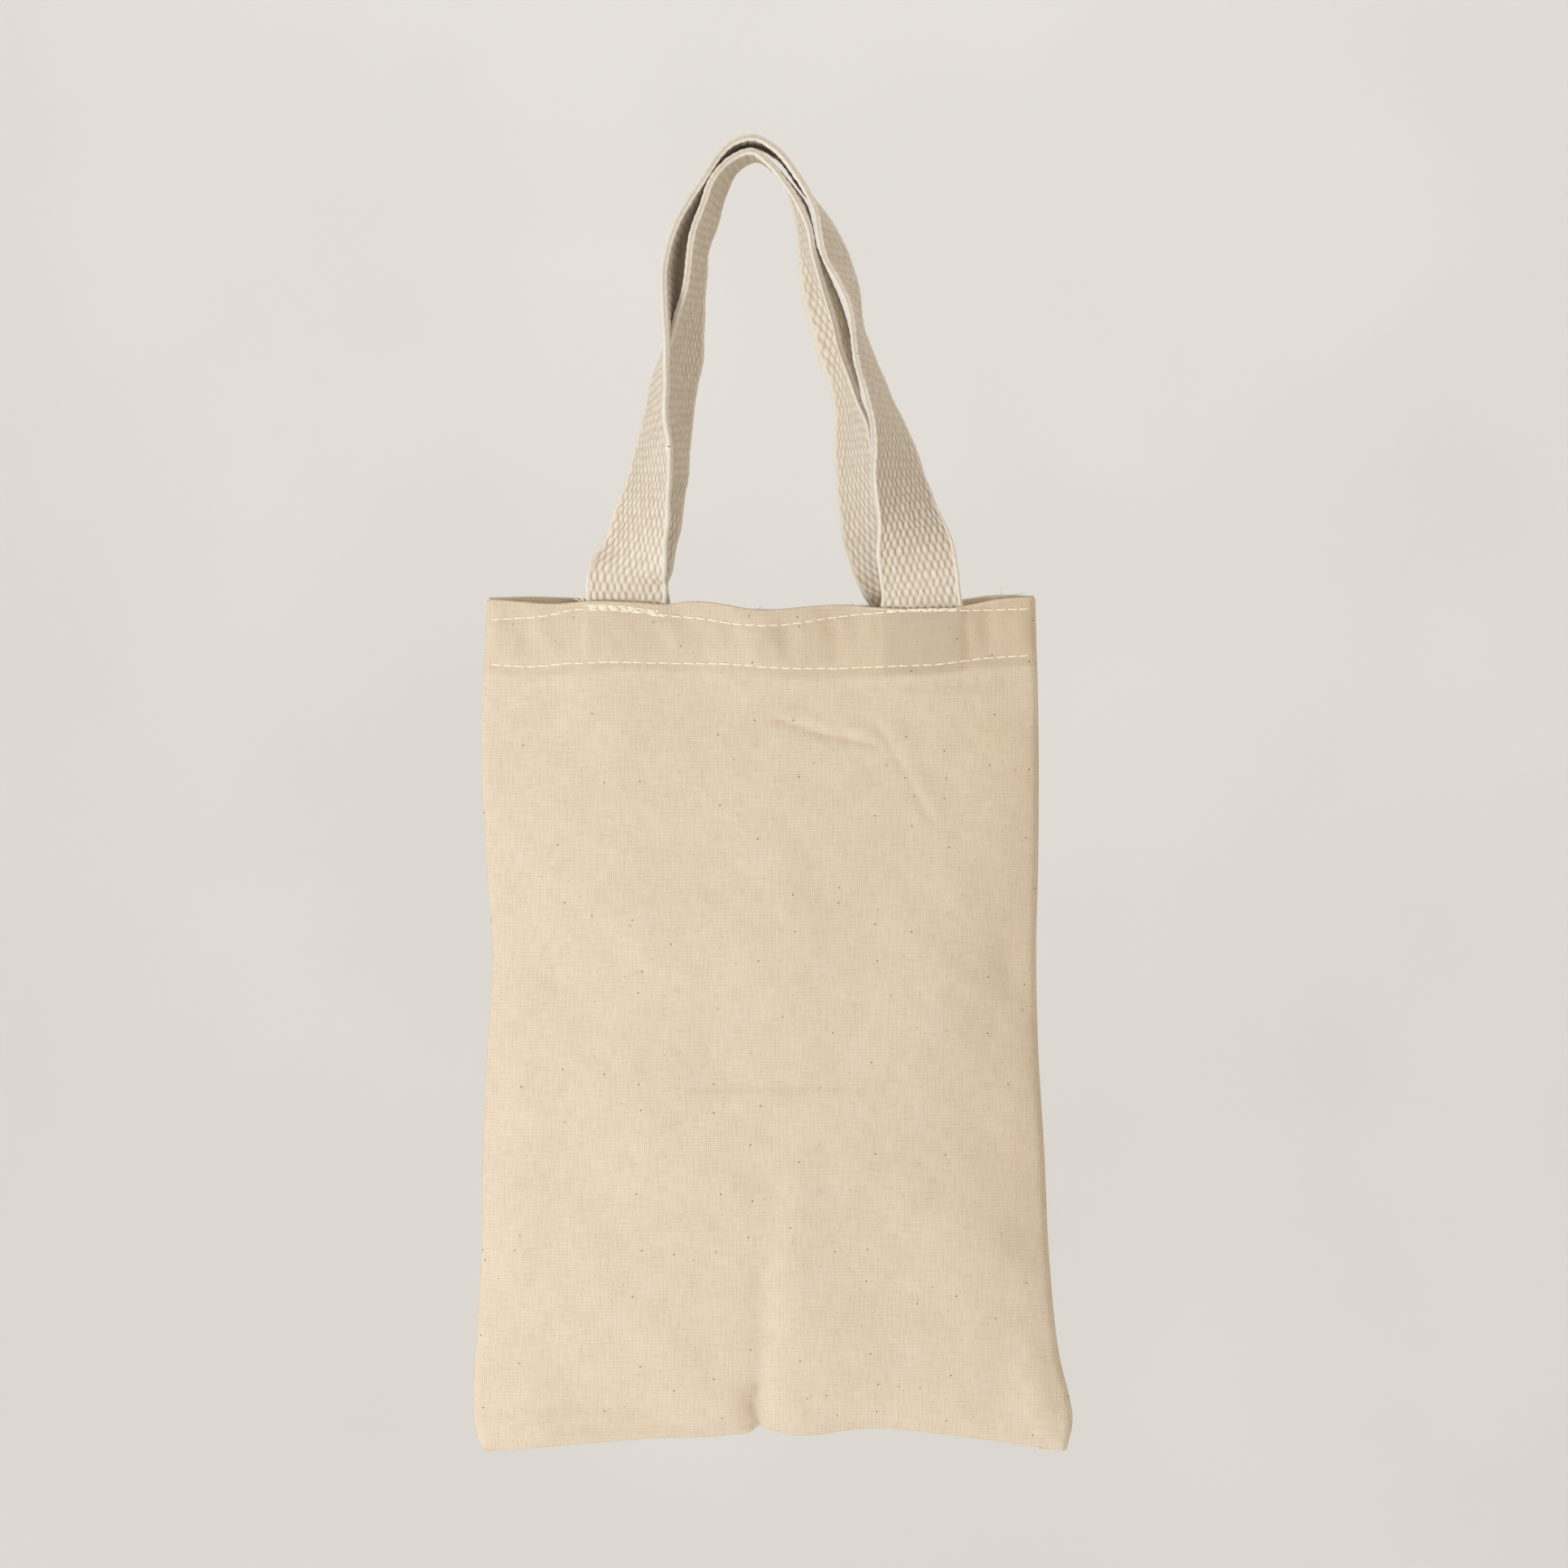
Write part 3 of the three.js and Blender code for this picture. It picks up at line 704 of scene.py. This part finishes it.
def make_hem_row(side, row, name, seed):
    """One row of stitching along the hem, from side seam to side seam."""
    HEM_Z = -145.0
    draw = np.random.default_rng(seed)
    left, right = left_at(HEM_Z) + 1, right_at(HEM_Z) - 1
    lines = row_stitches(side, row, left, right, False, draw)
    lines += row_stitches(side, row, left, right, True, draw)
    return thread_object(name, lines)


def make_tack(side, foot, passes, name, seed):
    """Back-stitching over a strap's end, in short passes close to the upper row."""
    TACK_STITCH, TACK_GAP, TACK_LIFT = 3.1, 0.25, 0.55
    draw = np.random.default_rng(seed)
    lines = []
    for rise in passes:
        row = [(x, z + rise) for x, z in UPPER_ROW]
        start = foot - WEB_WIDTH / 2 + draw.uniform(0, 1.5)
        end = foot + WEB_WIDTH / 2 - draw.uniform(0, 3)
        for inside in (False, True):
            lines += row_stitches(side, row, start, end, inside, draw, TACK_STITCH, TACK_GAP, TACK_LIFT)
    return thread_object(name, lines)


def edge_places(edge, inward, first, last, step):
    """Points along a seamed edge, inward from its fold, and the direction outwards.

    They start at first from the edge's one end and stop at last from its other end.
    """
    if edge == "bottom":
        low = BOTTOM_Z + 1.0
        x = np.arange(left_at(low) + first, right_at(low) - last, step)
        return np.stack([x, 0 * x, bottom_at(x) + inward], 1), np.array([0, 0, -1.0])
    z = np.arange(MOUTH_Z - first, BOTTOM_Z + last, -step)
    sign = 1 if edge == "left" else -1
    x = left_at(z) if edge == "left" else right_at(z)
    return np.stack([x + sign * inward, 0 * z, z], 1), np.array([-sign, 0, 0.0])


def make_seam(edge, name):
    """The seam: stitches on both sides of the two allowances."""
    FROM_FOLD, FIRST, LAST = 1.6, 3, 4
    places, _ = edge_places(edge, FROM_FOLD, FIRST, LAST, SEAM_STITCH)
    lines = []
    for side in (-1, 1):
        out = np.array([0, side, 0.0])
        level = out * (SEAM_Y + CLOTH / 2)
        for a, b in zip(places[:-1], places[1:]):
            gap = (b - a) * 0.08
            stitch = stitch_line(a + gap + level, b - gap + level, out, 0.4)
            lines.append((stitch, STITCH_RADIUS * 0.9))
    return thread_object(name, lines)


def make_overlock(edge, name):
    """The overlock: loops that climb one face, go over the raw edges and come down the other."""
    THREAD = STITCH_RADIUS * 0.8
    FIRST, LAST = (ALLOWANCE + 3, ALLOWANCE + 3) if edge == "bottom" else (3, ALLOWANCE + 5)
    places, outward = edge_places(edge, ALLOWANCE, FIRST, LAST, OVERLOCK_STEP)
    lift = SEAM_Y + CLOTH / 2 + STITCH_RADIUS
    # Each loop's points: outwards from the raw edge, share of the step ahead, and height.
    LOOP = [
        (OVERLOCK_DEPTH, 0, -lift), (OVERLOCK_DEPTH / 2, 0.25, -lift - 0.1), (0.3, 0.4, -lift),
        (-0.4, 0.5, 0), (0.3, 0.6, lift), (OVERLOCK_DEPTH / 2, 0.75, lift + 0.1),
        (OVERLOCK_DEPTH, 1, lift),
    ]
    lines = []
    for a, b in zip(places[:-1], places[1:]):
        loop = [a + outward * reach + (b - a) * share + [0, y, 0] for reach, share, y in LOOP]
        lines.append((np.array(loop), THREAD))
    for side in (-1, 1):
        for reach, rise in ((OVERLOCK_DEPTH, 0.25), (0.1, 0.1)):
            lines.append((places + outward * reach + [0, side * (lift + rise), 0], THREAD))
    return thread_object(name, lines)


def loose_line(start, heading, length, draw):
    """A thread end that wanders off from a start, bending as it goes."""
    STEPS, CURL = 14, 0.16
    heading = np.array(heading, float)
    heading /= np.linalg.norm(heading)
    bend = draw.uniform(-1, 1, 3)
    line = [np.array(start, float)]
    for _ in range(STEPS):
        heading = heading + bend * CURL
        heading /= np.linalg.norm(heading)
        line.append(line[-1] + heading * length / STEPS)
    return np.array(line)


def make_loose_threads(name):
    """Frayed ends: one beside the left handle, one at the right corner, and fluff over the back hem."""
    draw = np.random.default_rng(91)
    lines = []
    left_x, left_z = -51.0, -138.0
    y = depth(-1, np.array([left_x]), np.array([left_z]))[0]
    for reach, lean in ((7, -0.25), (6, 0.05), (4.5, -0.5)):
        line = loose_line((left_x + 0.4, -y + 1.6, left_z + 0.6), (lean, -0.15, 1), reach, draw)
        lines.append((line, 0.2))
    corner = (78.5, 2.5, -134.6)
    for heading, reach, radius in (((-0.6, -0.1, 1), 4, 0.14), ((1, -0.1, 0.25), 7, 0.1),
                                   ((-1, -0.2, 0.2), 4, 0.08)):
        lines.append((loose_line(corner, heading, reach, draw), radius))
    FLUFF, FLUFF_RADIUS = 20, 0.055
    for _ in range(FLUFF):
        x = draw.choice([draw.uniform(-27, -14), draw.uniform(-14, 14), draw.uniform(30, 41)])
        z = mouth_at(1, np.array([x]))[0]
        y = depth(1, np.array([x]), np.array([z]))[0] - draw.uniform(0, 1)
        heading = (draw.uniform(-1.2, 1.2), draw.uniform(-0.6, 0.3), draw.uniform(0.3, 1))
        lines.append((loose_line((x, y, z), heading, draw.uniform(1.2, 3.2), draw), FLUFF_RADIUS))
    return thread_object(name, lines)


# ---------------------------------------------------------------- materials

class Nodes:
    """Short calls for building a material's nodes."""

    def __init__(self, name):
        self.material = bpy.data.materials.new(name)
        self.material.use_nodes = True
        self.tree = self.material.node_tree
        self.shader = self.tree.nodes["Principled BSDF"]

    def add(self, kind, **settings):
        """A new node of a kind, with its settings."""
        node = self.tree.nodes.new(kind)
        for key, value in settings.items():
            setattr(node, key, value)
        return node

    def feed(self, socket, value):
        """Link a socket to another or give it a value."""
        if isinstance(value, bpy.types.NodeSocket):
            self.tree.links.new(value, socket)
        else:
            socket.default_value = value

    def math(self, operation, a, b=0.0):
        node = self.add("ShaderNodeMath", operation=operation)
        self.feed(node.inputs[0], a)
        self.feed(node.inputs[1], b)
        return node.outputs[0]

    def times(self, a, b):
        return self.math("MULTIPLY", a, b)

    def plus(self, a, b):
        return self.math("ADD", a, b)

    def combine(self, x, y, z=0.0):
        node = self.add("ShaderNodeCombineXYZ")
        for socket, value in zip(node.inputs, (x, y, z)):
            self.feed(socket, value)
        return node.outputs[0]

    def flat_place(self):
        """The place in the flat cloth, in metres across and along it."""
        uv = self.add("ShaderNodeUVMap", uv_map="cloth")
        parts = self.add("ShaderNodeSeparateXYZ")
        self.feed(parts.inputs[0], uv.outputs[0])
        return parts.outputs[0], parts.outputs[1]

    def attribute(self, name):
        """A value kept on the mesh's points."""
        return self.add("ShaderNodeAttribute", attribute_name=name).outputs["Fac"]

    def noise(self, vector, scale, detail=2.0, roughness=0.5):
        """Soft noise around 0.5 whose scale is in cells per metre."""
        node = self.add("ShaderNodeTexNoise")
        self.feed(node.inputs["Vector"], vector)
        node.inputs["Scale"].default_value = scale
        node.inputs["Detail"].default_value = detail
        node.inputs["Roughness"].default_value = roughness
        return node.outputs["Fac"]

    def streaks(self, x, y, x_scale, y_scale, layer=0.0, detail=1.0, roughness=0.5):
        """Noise with its own scale each way."""
        place = self.combine(self.times(x, x_scale), self.times(y, y_scale), layer)
        return self.noise(place, 1, detail, roughness)

    def ramp(self, value, stops):
        """A colour that runs through the stops, each a value and a colour."""
        node = self.add("ShaderNodeValToRGB")
        self.feed(node.inputs[0], value)
        elements = node.color_ramp.elements
        while len(elements) < len(stops):
            elements.new(0.5)
        for element, (place, colour) in zip(elements, stops):
            element.position = place
            element.color = colour
        return node.outputs[0]

    def layered(self, colour, layers):
        """A colour with others laid over it, each by its own amount."""
        for amount, over in layers:
            node = self.add("ShaderNodeMix", data_type="RGBA")
            self.feed(node.inputs["Factor"], amount)
            self.feed(node.inputs[6], colour)
            self.feed(node.inputs[7], over)
            colour = node.outputs[2]
        return colour

    def range(self, value, low, high, to_low, to_high):
        node = self.add("ShaderNodeMapRange")
        for socket, number in zip(node.inputs, (value, low, high, to_low, to_high)):
            self.feed(socket, number)
        return node.outputs[0]

    def bump(self, height, distance, strength):
        node = self.add("ShaderNodeBump")
        node.inputs["Strength"].default_value = strength
        node.inputs["Distance"].default_value = distance
        self.feed(node.inputs["Height"], height)
        return node.outputs[0]

    def surface(self, values):
        """The material, with its shader's inputs fed by their names."""
        for name, value in values.items():
            self.feed(self.shader.inputs[name], value)
        return self.material


def linear(*levels):
    """A linear colour and its alpha, from red, green and blue in sRGB out of 255."""
    return (*(((level / 255 + 0.055) / 1.055) ** 2.4 for level in levels), 1)


CANVAS = linear(226, 211, 189)
CANVAS_WARM = linear(226, 208, 185)
CANVAS_YELLOW = linear(227, 210, 183)
CANVAS_PALE = linear(231, 218, 198)
CANVAS_LIGHT = linear(240, 230, 213)
CANVAS_DARK = linear(200, 179, 151)
# Painted shade in the weave's valleys.
CANVAS_WEAVE_SHADE = linear(172, 149, 119)
# Painted shade over the turned-in hem.
CANVAS_HEM_SHADE = linear(209, 188, 160)
# Painted shade along creases and slopes.
CANVAS_CREASE_SHADE = linear(200, 164, 118)
# Painted shade where a strap's end lies behind the hem.
CANVAS_STRAP_SHADE = linear(176, 166, 150)
WEBBING = linear(228, 218, 204)
WEBBING_PALE = linear(235, 227, 214)
WEBBING_FIBRE = linear(212, 198, 174)
# Painted shade in the webbing's valleys.
WEBBING_WEAVE_SHADE = linear(178, 154, 120)
# Painted highlight on the webbing's grain crests.
WEBBING_CREST_HIGHLIGHT = linear(242, 236, 225)
THREAD = linear(252, 246, 232)
THREAD_DIM = linear(240, 230, 210)
# Painted shade in the thread's ply grooves.
THREAD_PLY_SHADE = linear(206, 188, 158)
SEED = linear(96, 66, 42)
LINT = linear(150, 148, 140)
STAGE_DIM = linear(231, 231, 230)
STAGE_PALE = linear(235, 235, 234)


def specks(n, x, y, cell, size, share):
    """1 on small round specks of a size in mm, in a share of the cells."""
    node = n.add("ShaderNodeTexVoronoi", feature="F1", voronoi_dimensions="2D")
    n.feed(node.inputs["Vector"], n.combine(x, y))
    node.inputs["Scale"].default_value = 1 / (cell * MM)
    near = n.range(node.outputs["Distance"], size / cell, 0.6 * size / cell, 0.0, 1.0)
    parts = n.add("ShaderNodeSeparateColor")
    n.feed(parts.inputs[0], node.outputs["Color"])
    return n.times(near, n.math("LESS_THAN", parts.outputs[0], share))


def plain_weave(n, x, y):
    """A plain weave's height from 0 between its yarns to 1 on them, and 1 where the warp is on top."""
    WARP, WEFT = 0.625 * MM, 0.56 * MM
    DRIFT, DRIFT_SCALE = 0.9, 160
    ROUND, LEVEL = 0.7, 0.35  # how round a yarn is across itself and along itself
    drift_x = n.noise(n.combine(n.times(x, 0.25), y), DRIFT_SCALE, 1)
    drift_y = n.noise(n.combine(x, n.times(y, 0.25), 3.0), DRIFT_SCALE, 1)
    warp = n.plus(n.math("DIVIDE", x, WARP), n.times(drift_x, DRIFT))
    weft = n.plus(n.math("DIVIDE", y, WEFT), n.times(drift_y, DRIFT))
    across = n.math("SINE", n.times(warp, math.pi))
    along = n.math("SINE", n.times(weft, math.pi))
    warp_over = n.math("GREATER_THAN", n.times(across, along), 0.0)
    across = n.math("ABSOLUTE", across)
    along = n.math("ABSOLUTE", along)
    over = n.times(n.math("POWER", across, ROUND), n.math("POWER", along, LEVEL))
    under = n.times(n.math("POWER", across, LEVEL), n.math("POWER", along, ROUND))
    weft_over = n.math("SUBTRACT", 1.0, warp_over)
    return n.plus(n.times(over, warp_over), n.times(under, weft_over)), warp_over


def canvas_material():
    """Natural canvas: a plain weave of uneven yarns, with seeds and lint, and painted shade in the
    weave's valleys, along creases, over the turned-in hem and over the straps' ends.
    """
    n = Nodes("natural_canvas")
    x, y = n.flat_place()
    weave, warp_over = plain_weave(n, x, y)
    # Thick and thin yarn: short streaks both ways.
    down_yarn = n.streaks(x, y, 1600, 170)
    side_yarn = n.streaks(x, y, 170, 1780, 5.0)
    yarn = n.plus(n.times(down_yarn, 0.5), n.times(side_yarn, 0.5))
    fluff = n.noise(n.combine(x, y), 5200, 2, 0.7)
    cloud = n.noise(n.combine(x, y, 1.0), 38, 3, 0.6)
    base = n.ramp(cloud, [(0.32, CANVAS_WARM), (0.52, CANVAS), (0.7, CANVAS_YELLOW)])
    pale = n.noise(n.combine(x, y, 8.0), 100, 2)
    colour = n.layered(base, [
        (n.range(pale, 0.4, 0.65, 0.0, 0.4), CANVAS_PALE),
        (n.range(yarn, 0.36, 0.5, 0.26, 0.0), CANVAS_DARK),
        (n.range(yarn, 0.52, 0.66, 0.0, 0.28), CANVAS_LIGHT),
        (n.times(warp_over, 0.12), CANVAS_LIGHT),
        # Painted shade in the weave's valleys, between the yarns.
        (n.range(weave, 0.0, 0.65, 0.5, 0.0), CANVAS_WEAVE_SHADE),
        # Painted shade along creases and slopes.
        (n.times(n.attribute("stain"), 0.34), CANVAS_CREASE_SHADE),
        # Painted shade over the turned-in hem, darker towards the right.
        (n.times(n.attribute("double"), 0.2), CANVAS_HEM_SHADE),
        # Painted shade over a strap's end behind the hem.
        (n.times(n.attribute("backing"), 0.3), CANVAS_STRAP_SHADE),
        (n.times(specks(n, x, y, 12, 0.32, 0.34), 0.75), SEED),
        (n.times(specks(n, x, y, 4.3, 0.19, 0.3), 0.5), SEED),
        (n.times(specks(n, y, x, 24, 0.5, 0.3), 0.5), LINT),
    ])
    height = n.plus(weave, n.plus(n.times(yarn, 0.9), n.times(fluff, 0.4)))
    return n.surface({
        "Base Color": colour,
        "Roughness": n.range(weave, 0.0, 1.0, 0.98, 0.88),
        "Sheen Weight": 0.08,
        "Sheen Roughness": 0.6,
        "Specular IOR Level": 0.15,
        "Normal": n.bump(height, 0.15 * MM, 0.9),
    })


def webbing_material():
    """Cotton webbing with fine fibres, with painted shade in the valleys of its modelled weave and a
    painted highlight on its grains' crests.
    """
    n = Nodes("cotton_webbing")
    x, y = n.flat_place()
    height = n.attribute("relief")
    fibre = n.streaks(x, y, 6500, 1300, 0.0, 3, 0.65)
    fuzz = n.noise(n.combine(x, y, 7.0), 3600, 3, 0.7)
    cloud = n.noise(n.combine(x, y, 2.0), 90, 3, 0.6)
    colour = n.layered(n.ramp(cloud, [(0.3, WEBBING), (0.7, WEBBING_PALE)]), [
        (n.range(fibre, 0.32, 0.62, 0.45, 0.0), WEBBING_FIBRE),
        # Painted shade in the weave's valleys.
        (n.range(height, 0.0, 0.8, 0.72, 0.0), WEBBING_WEAVE_SHADE),
        # Painted highlight on the grains' crests.
        (n.range(height, 0.7, 1.0, 0.0, 0.45), WEBBING_CREST_HIGHLIGHT),
        (n.times(specks(n, x, y, 14, 0.24, 0.25), 0.7), SEED),
    ])
    rough = n.plus(fibre, n.times(fuzz, 0.8))
    return n.surface({
        "Base Color": colour,
        "Roughness": n.range(fibre, 0.2, 0.8, 0.97, 0.85),
        "Sheen Weight": 0.1,
        "Specular IOR Level": 0.18,
        "Normal": n.bump(rough, 0.22 * MM, 0.9),
    })


def thread_material():
    """Cream sewing thread, its plies winding round it, with painted shade in the grooves between them.
    """
    n = Nodes("cream_thread")
    round_it, run = n.flat_place()
    TURNS_PER_METRE = 1500
    turns = n.plus(n.times(run, TURNS_PER_METRE), n.times(round_it, 1 / MM))
    ply = n.math("SINE", n.times(turns, 2 * math.pi))
    fuzz = n.noise(n.combine(round_it, run, 4.0), 2600, 2)
    base = n.ramp(fuzz, [(0.3, THREAD_DIM), (0.7, THREAD)])
    return n.surface({
        # Painted shade in the grooves between the plies.
        "Base Color": n.layered(base, [(n.range(ply, -1.0, 0.2, 0.3, 0.0), THREAD_PLY_SHADE)]),
        "Roughness": 0.7,
        "Specular IOR Level": 0.3,
        "Normal": n.bump(ply, 0.05 * MM, 0.6),
    })


def stage_material():
    """The floor's and backdrop's pale paint."""
    n = Nodes("pale_floor")
    place = n.add("ShaderNodeTexCoord").outputs["Object"]
    colour = n.ramp(n.noise(place, 3, 2), [(0.3, STAGE_DIM), (0.7, STAGE_PALE)])
    return n.surface({"Base Color": colour, "Roughness": 0.95})


# ---------------------------------------------------------------- scene

def make_camera():
    """The photo's view: level, from straight ahead."""
    data = bpy.data.cameras.new("camera")
    data.sensor_width = SENSOR
    data.lens = SENSOR * CAMERA_DISTANCE / VIEW_WIDTH
    camera = bpy.data.objects.new("camera", data)
    camera.location = (VIEW_CENTRE[0], -CAMERA_DISTANCE, VIEW_CENTRE[1])
    camera.rotation_euler = (math.pi / 2, 0, 0)
    bpy.context.scene.collection.objects.link(camera)
    bpy.context.scene.camera = camera


def make_light(name, place, aim, size, power, colour):
    """A round lamp at a place, in metres, turned towards its aim."""
    data = bpy.data.lights.new(name, "AREA")
    data.shape = "DISK"
    data.size = size
    data.energy = power
    data.color = colour
    lamp = bpy.data.objects.new(name, data)
    lamp.location = place
    lamp.rotation_euler = (Vector(aim) - Vector(place)).to_track_quat("-Z", "Y").to_euler()
    bpy.context.scene.collection.objects.link(lamp)


def make_stage():
    """A pale floor well below the bag that curves up into a backdrop well behind it."""
    CURVE = 0.8
    CURVE_STEPS = 12
    HALF_WIDTH = 4.5
    TOP = 3.2
    curve_start = BACKDROP_Y - CURVE
    profile = [(-HALF_WIDTH, FLOOR_Z), (curve_start, FLOOR_Z)]
    for i in range(1, CURVE_STEPS + 1):
        a = math.pi / 2 * i / CURVE_STEPS
        profile.append((curve_start + CURVE * math.sin(a), FLOOR_Z + CURVE * (1 - math.cos(a))))
    profile.append((BACKDROP_Y, TOP))
    points = [(x, y, z) for y, z in profile for x in (-HALF_WIDTH, HALF_WIDTH)]
    faces = [(2 * i, 2 * i + 1, 2 * i + 3, 2 * i + 2) for i in range(len(profile) - 1)]
    floor = mesh_object("floor", np.array(points) / MM, faces)
    floor.data.materials.append(stage_material())


BAG_MIDDLE = (0, 0, -0.22)
BACKDROP_MIDDLE = (0, BACKDROP_Y, -0.4)
# Name, place, aim, size, power and colour.
LIGHTS = [
    ("key", (-1.3, -1.5, -0.7), BAG_MIDDLE, 0.6, 25, (0.9, 0.95, 1.0)),
    ("fill", (0.9, -1.9, 0.9), BAG_MIDDLE, 1.6, 6, (0.97, 0.98, 1.0)),
    ("rim", (0.4, 1.6, 0.9), BAG_MIDDLE, 1.2, 11, (1.0, 0.98, 0.95)),
    ("backdrop", (0, 1.2, 1.6), BACKDROP_MIDDLE, 2.0, 17, (0.9, 0.96, 1.0)),
]

make_camera()
make_stage()
for light in LIGHTS:
    make_light(*light)
world = bpy.data.worlds.new("studio")
world.use_nodes = True
background = world.node_tree.nodes["Background"]
background.inputs["Color"].default_value = (0.94, 0.855, 0.755, 1)
background.inputs["Strength"].default_value = 0.7
bpy.context.scene.world = world
bpy.context.scene.view_settings.view_transform = "Standard"

canvas = canvas_material()
webbing = webbing_material()
thread = thread_material()

STRAP_SEED, ROW_SEED, TACK_SEED = 40, 50, 60
BACK_BOW = 7.1
TACK_PASSES = {"left": (0.45, -0.45, 0.95), "right": (0.45,)}

for word, side, route, bow in (("front", -1, FRONT_ROUTE, 0), ("back", 1, BACK_ROUTE, BACK_BOW)):
    panel = make_panel(side, f"{word}_canvas")
    panel.data.materials.append(canvas)
    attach(panel, "bag")
    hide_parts(f"{word}_panel")

    strap = make_strap(f"{word}_webbing", side, route, bow, STRAP_SEED + side)
    strap.data.materials.append(webbing)
    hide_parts(f"{word}_handle", f"{word}_handle_end_left", f"{word}_handle_end_right")
    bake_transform(strap)

    sewn = []
    for place, row in (("upper", UPPER_ROW), ("lower", LOWER_ROW)):
        made = make_hem_row(side, row, f"{word}_{place}_row", ROW_SEED + side + len(place))
        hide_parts(f"{word}_hem_stitch_{place}")
        sewn.append(made)
    for (hand, passes), foot in zip(TACK_PASSES.items(), FEET[word]):
        made = make_tack(side, foot, passes, f"{word}_{hand}_tack", TACK_SEED + side + len(hand))
        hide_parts(f"{word}_handle_tack_{hand}")
        sewn.append(made)
    for made in sewn:
        made.data.materials.append(thread)
        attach(made, "bag")

for edge in ("left", "right", "bottom"):
    for made, node in ((make_seam(edge, f"{edge}_seam"), f"{edge}_seam_thread"),
                       (make_overlock(edge, f"{edge}_overlock"), f"{edge}_overlock_thread")):
        made.data.materials.append(thread)
        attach(made, "bag")
        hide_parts(node)

loose = make_loose_threads("loose_threads")
loose.data.materials.append(thread)
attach(loose, "bag")
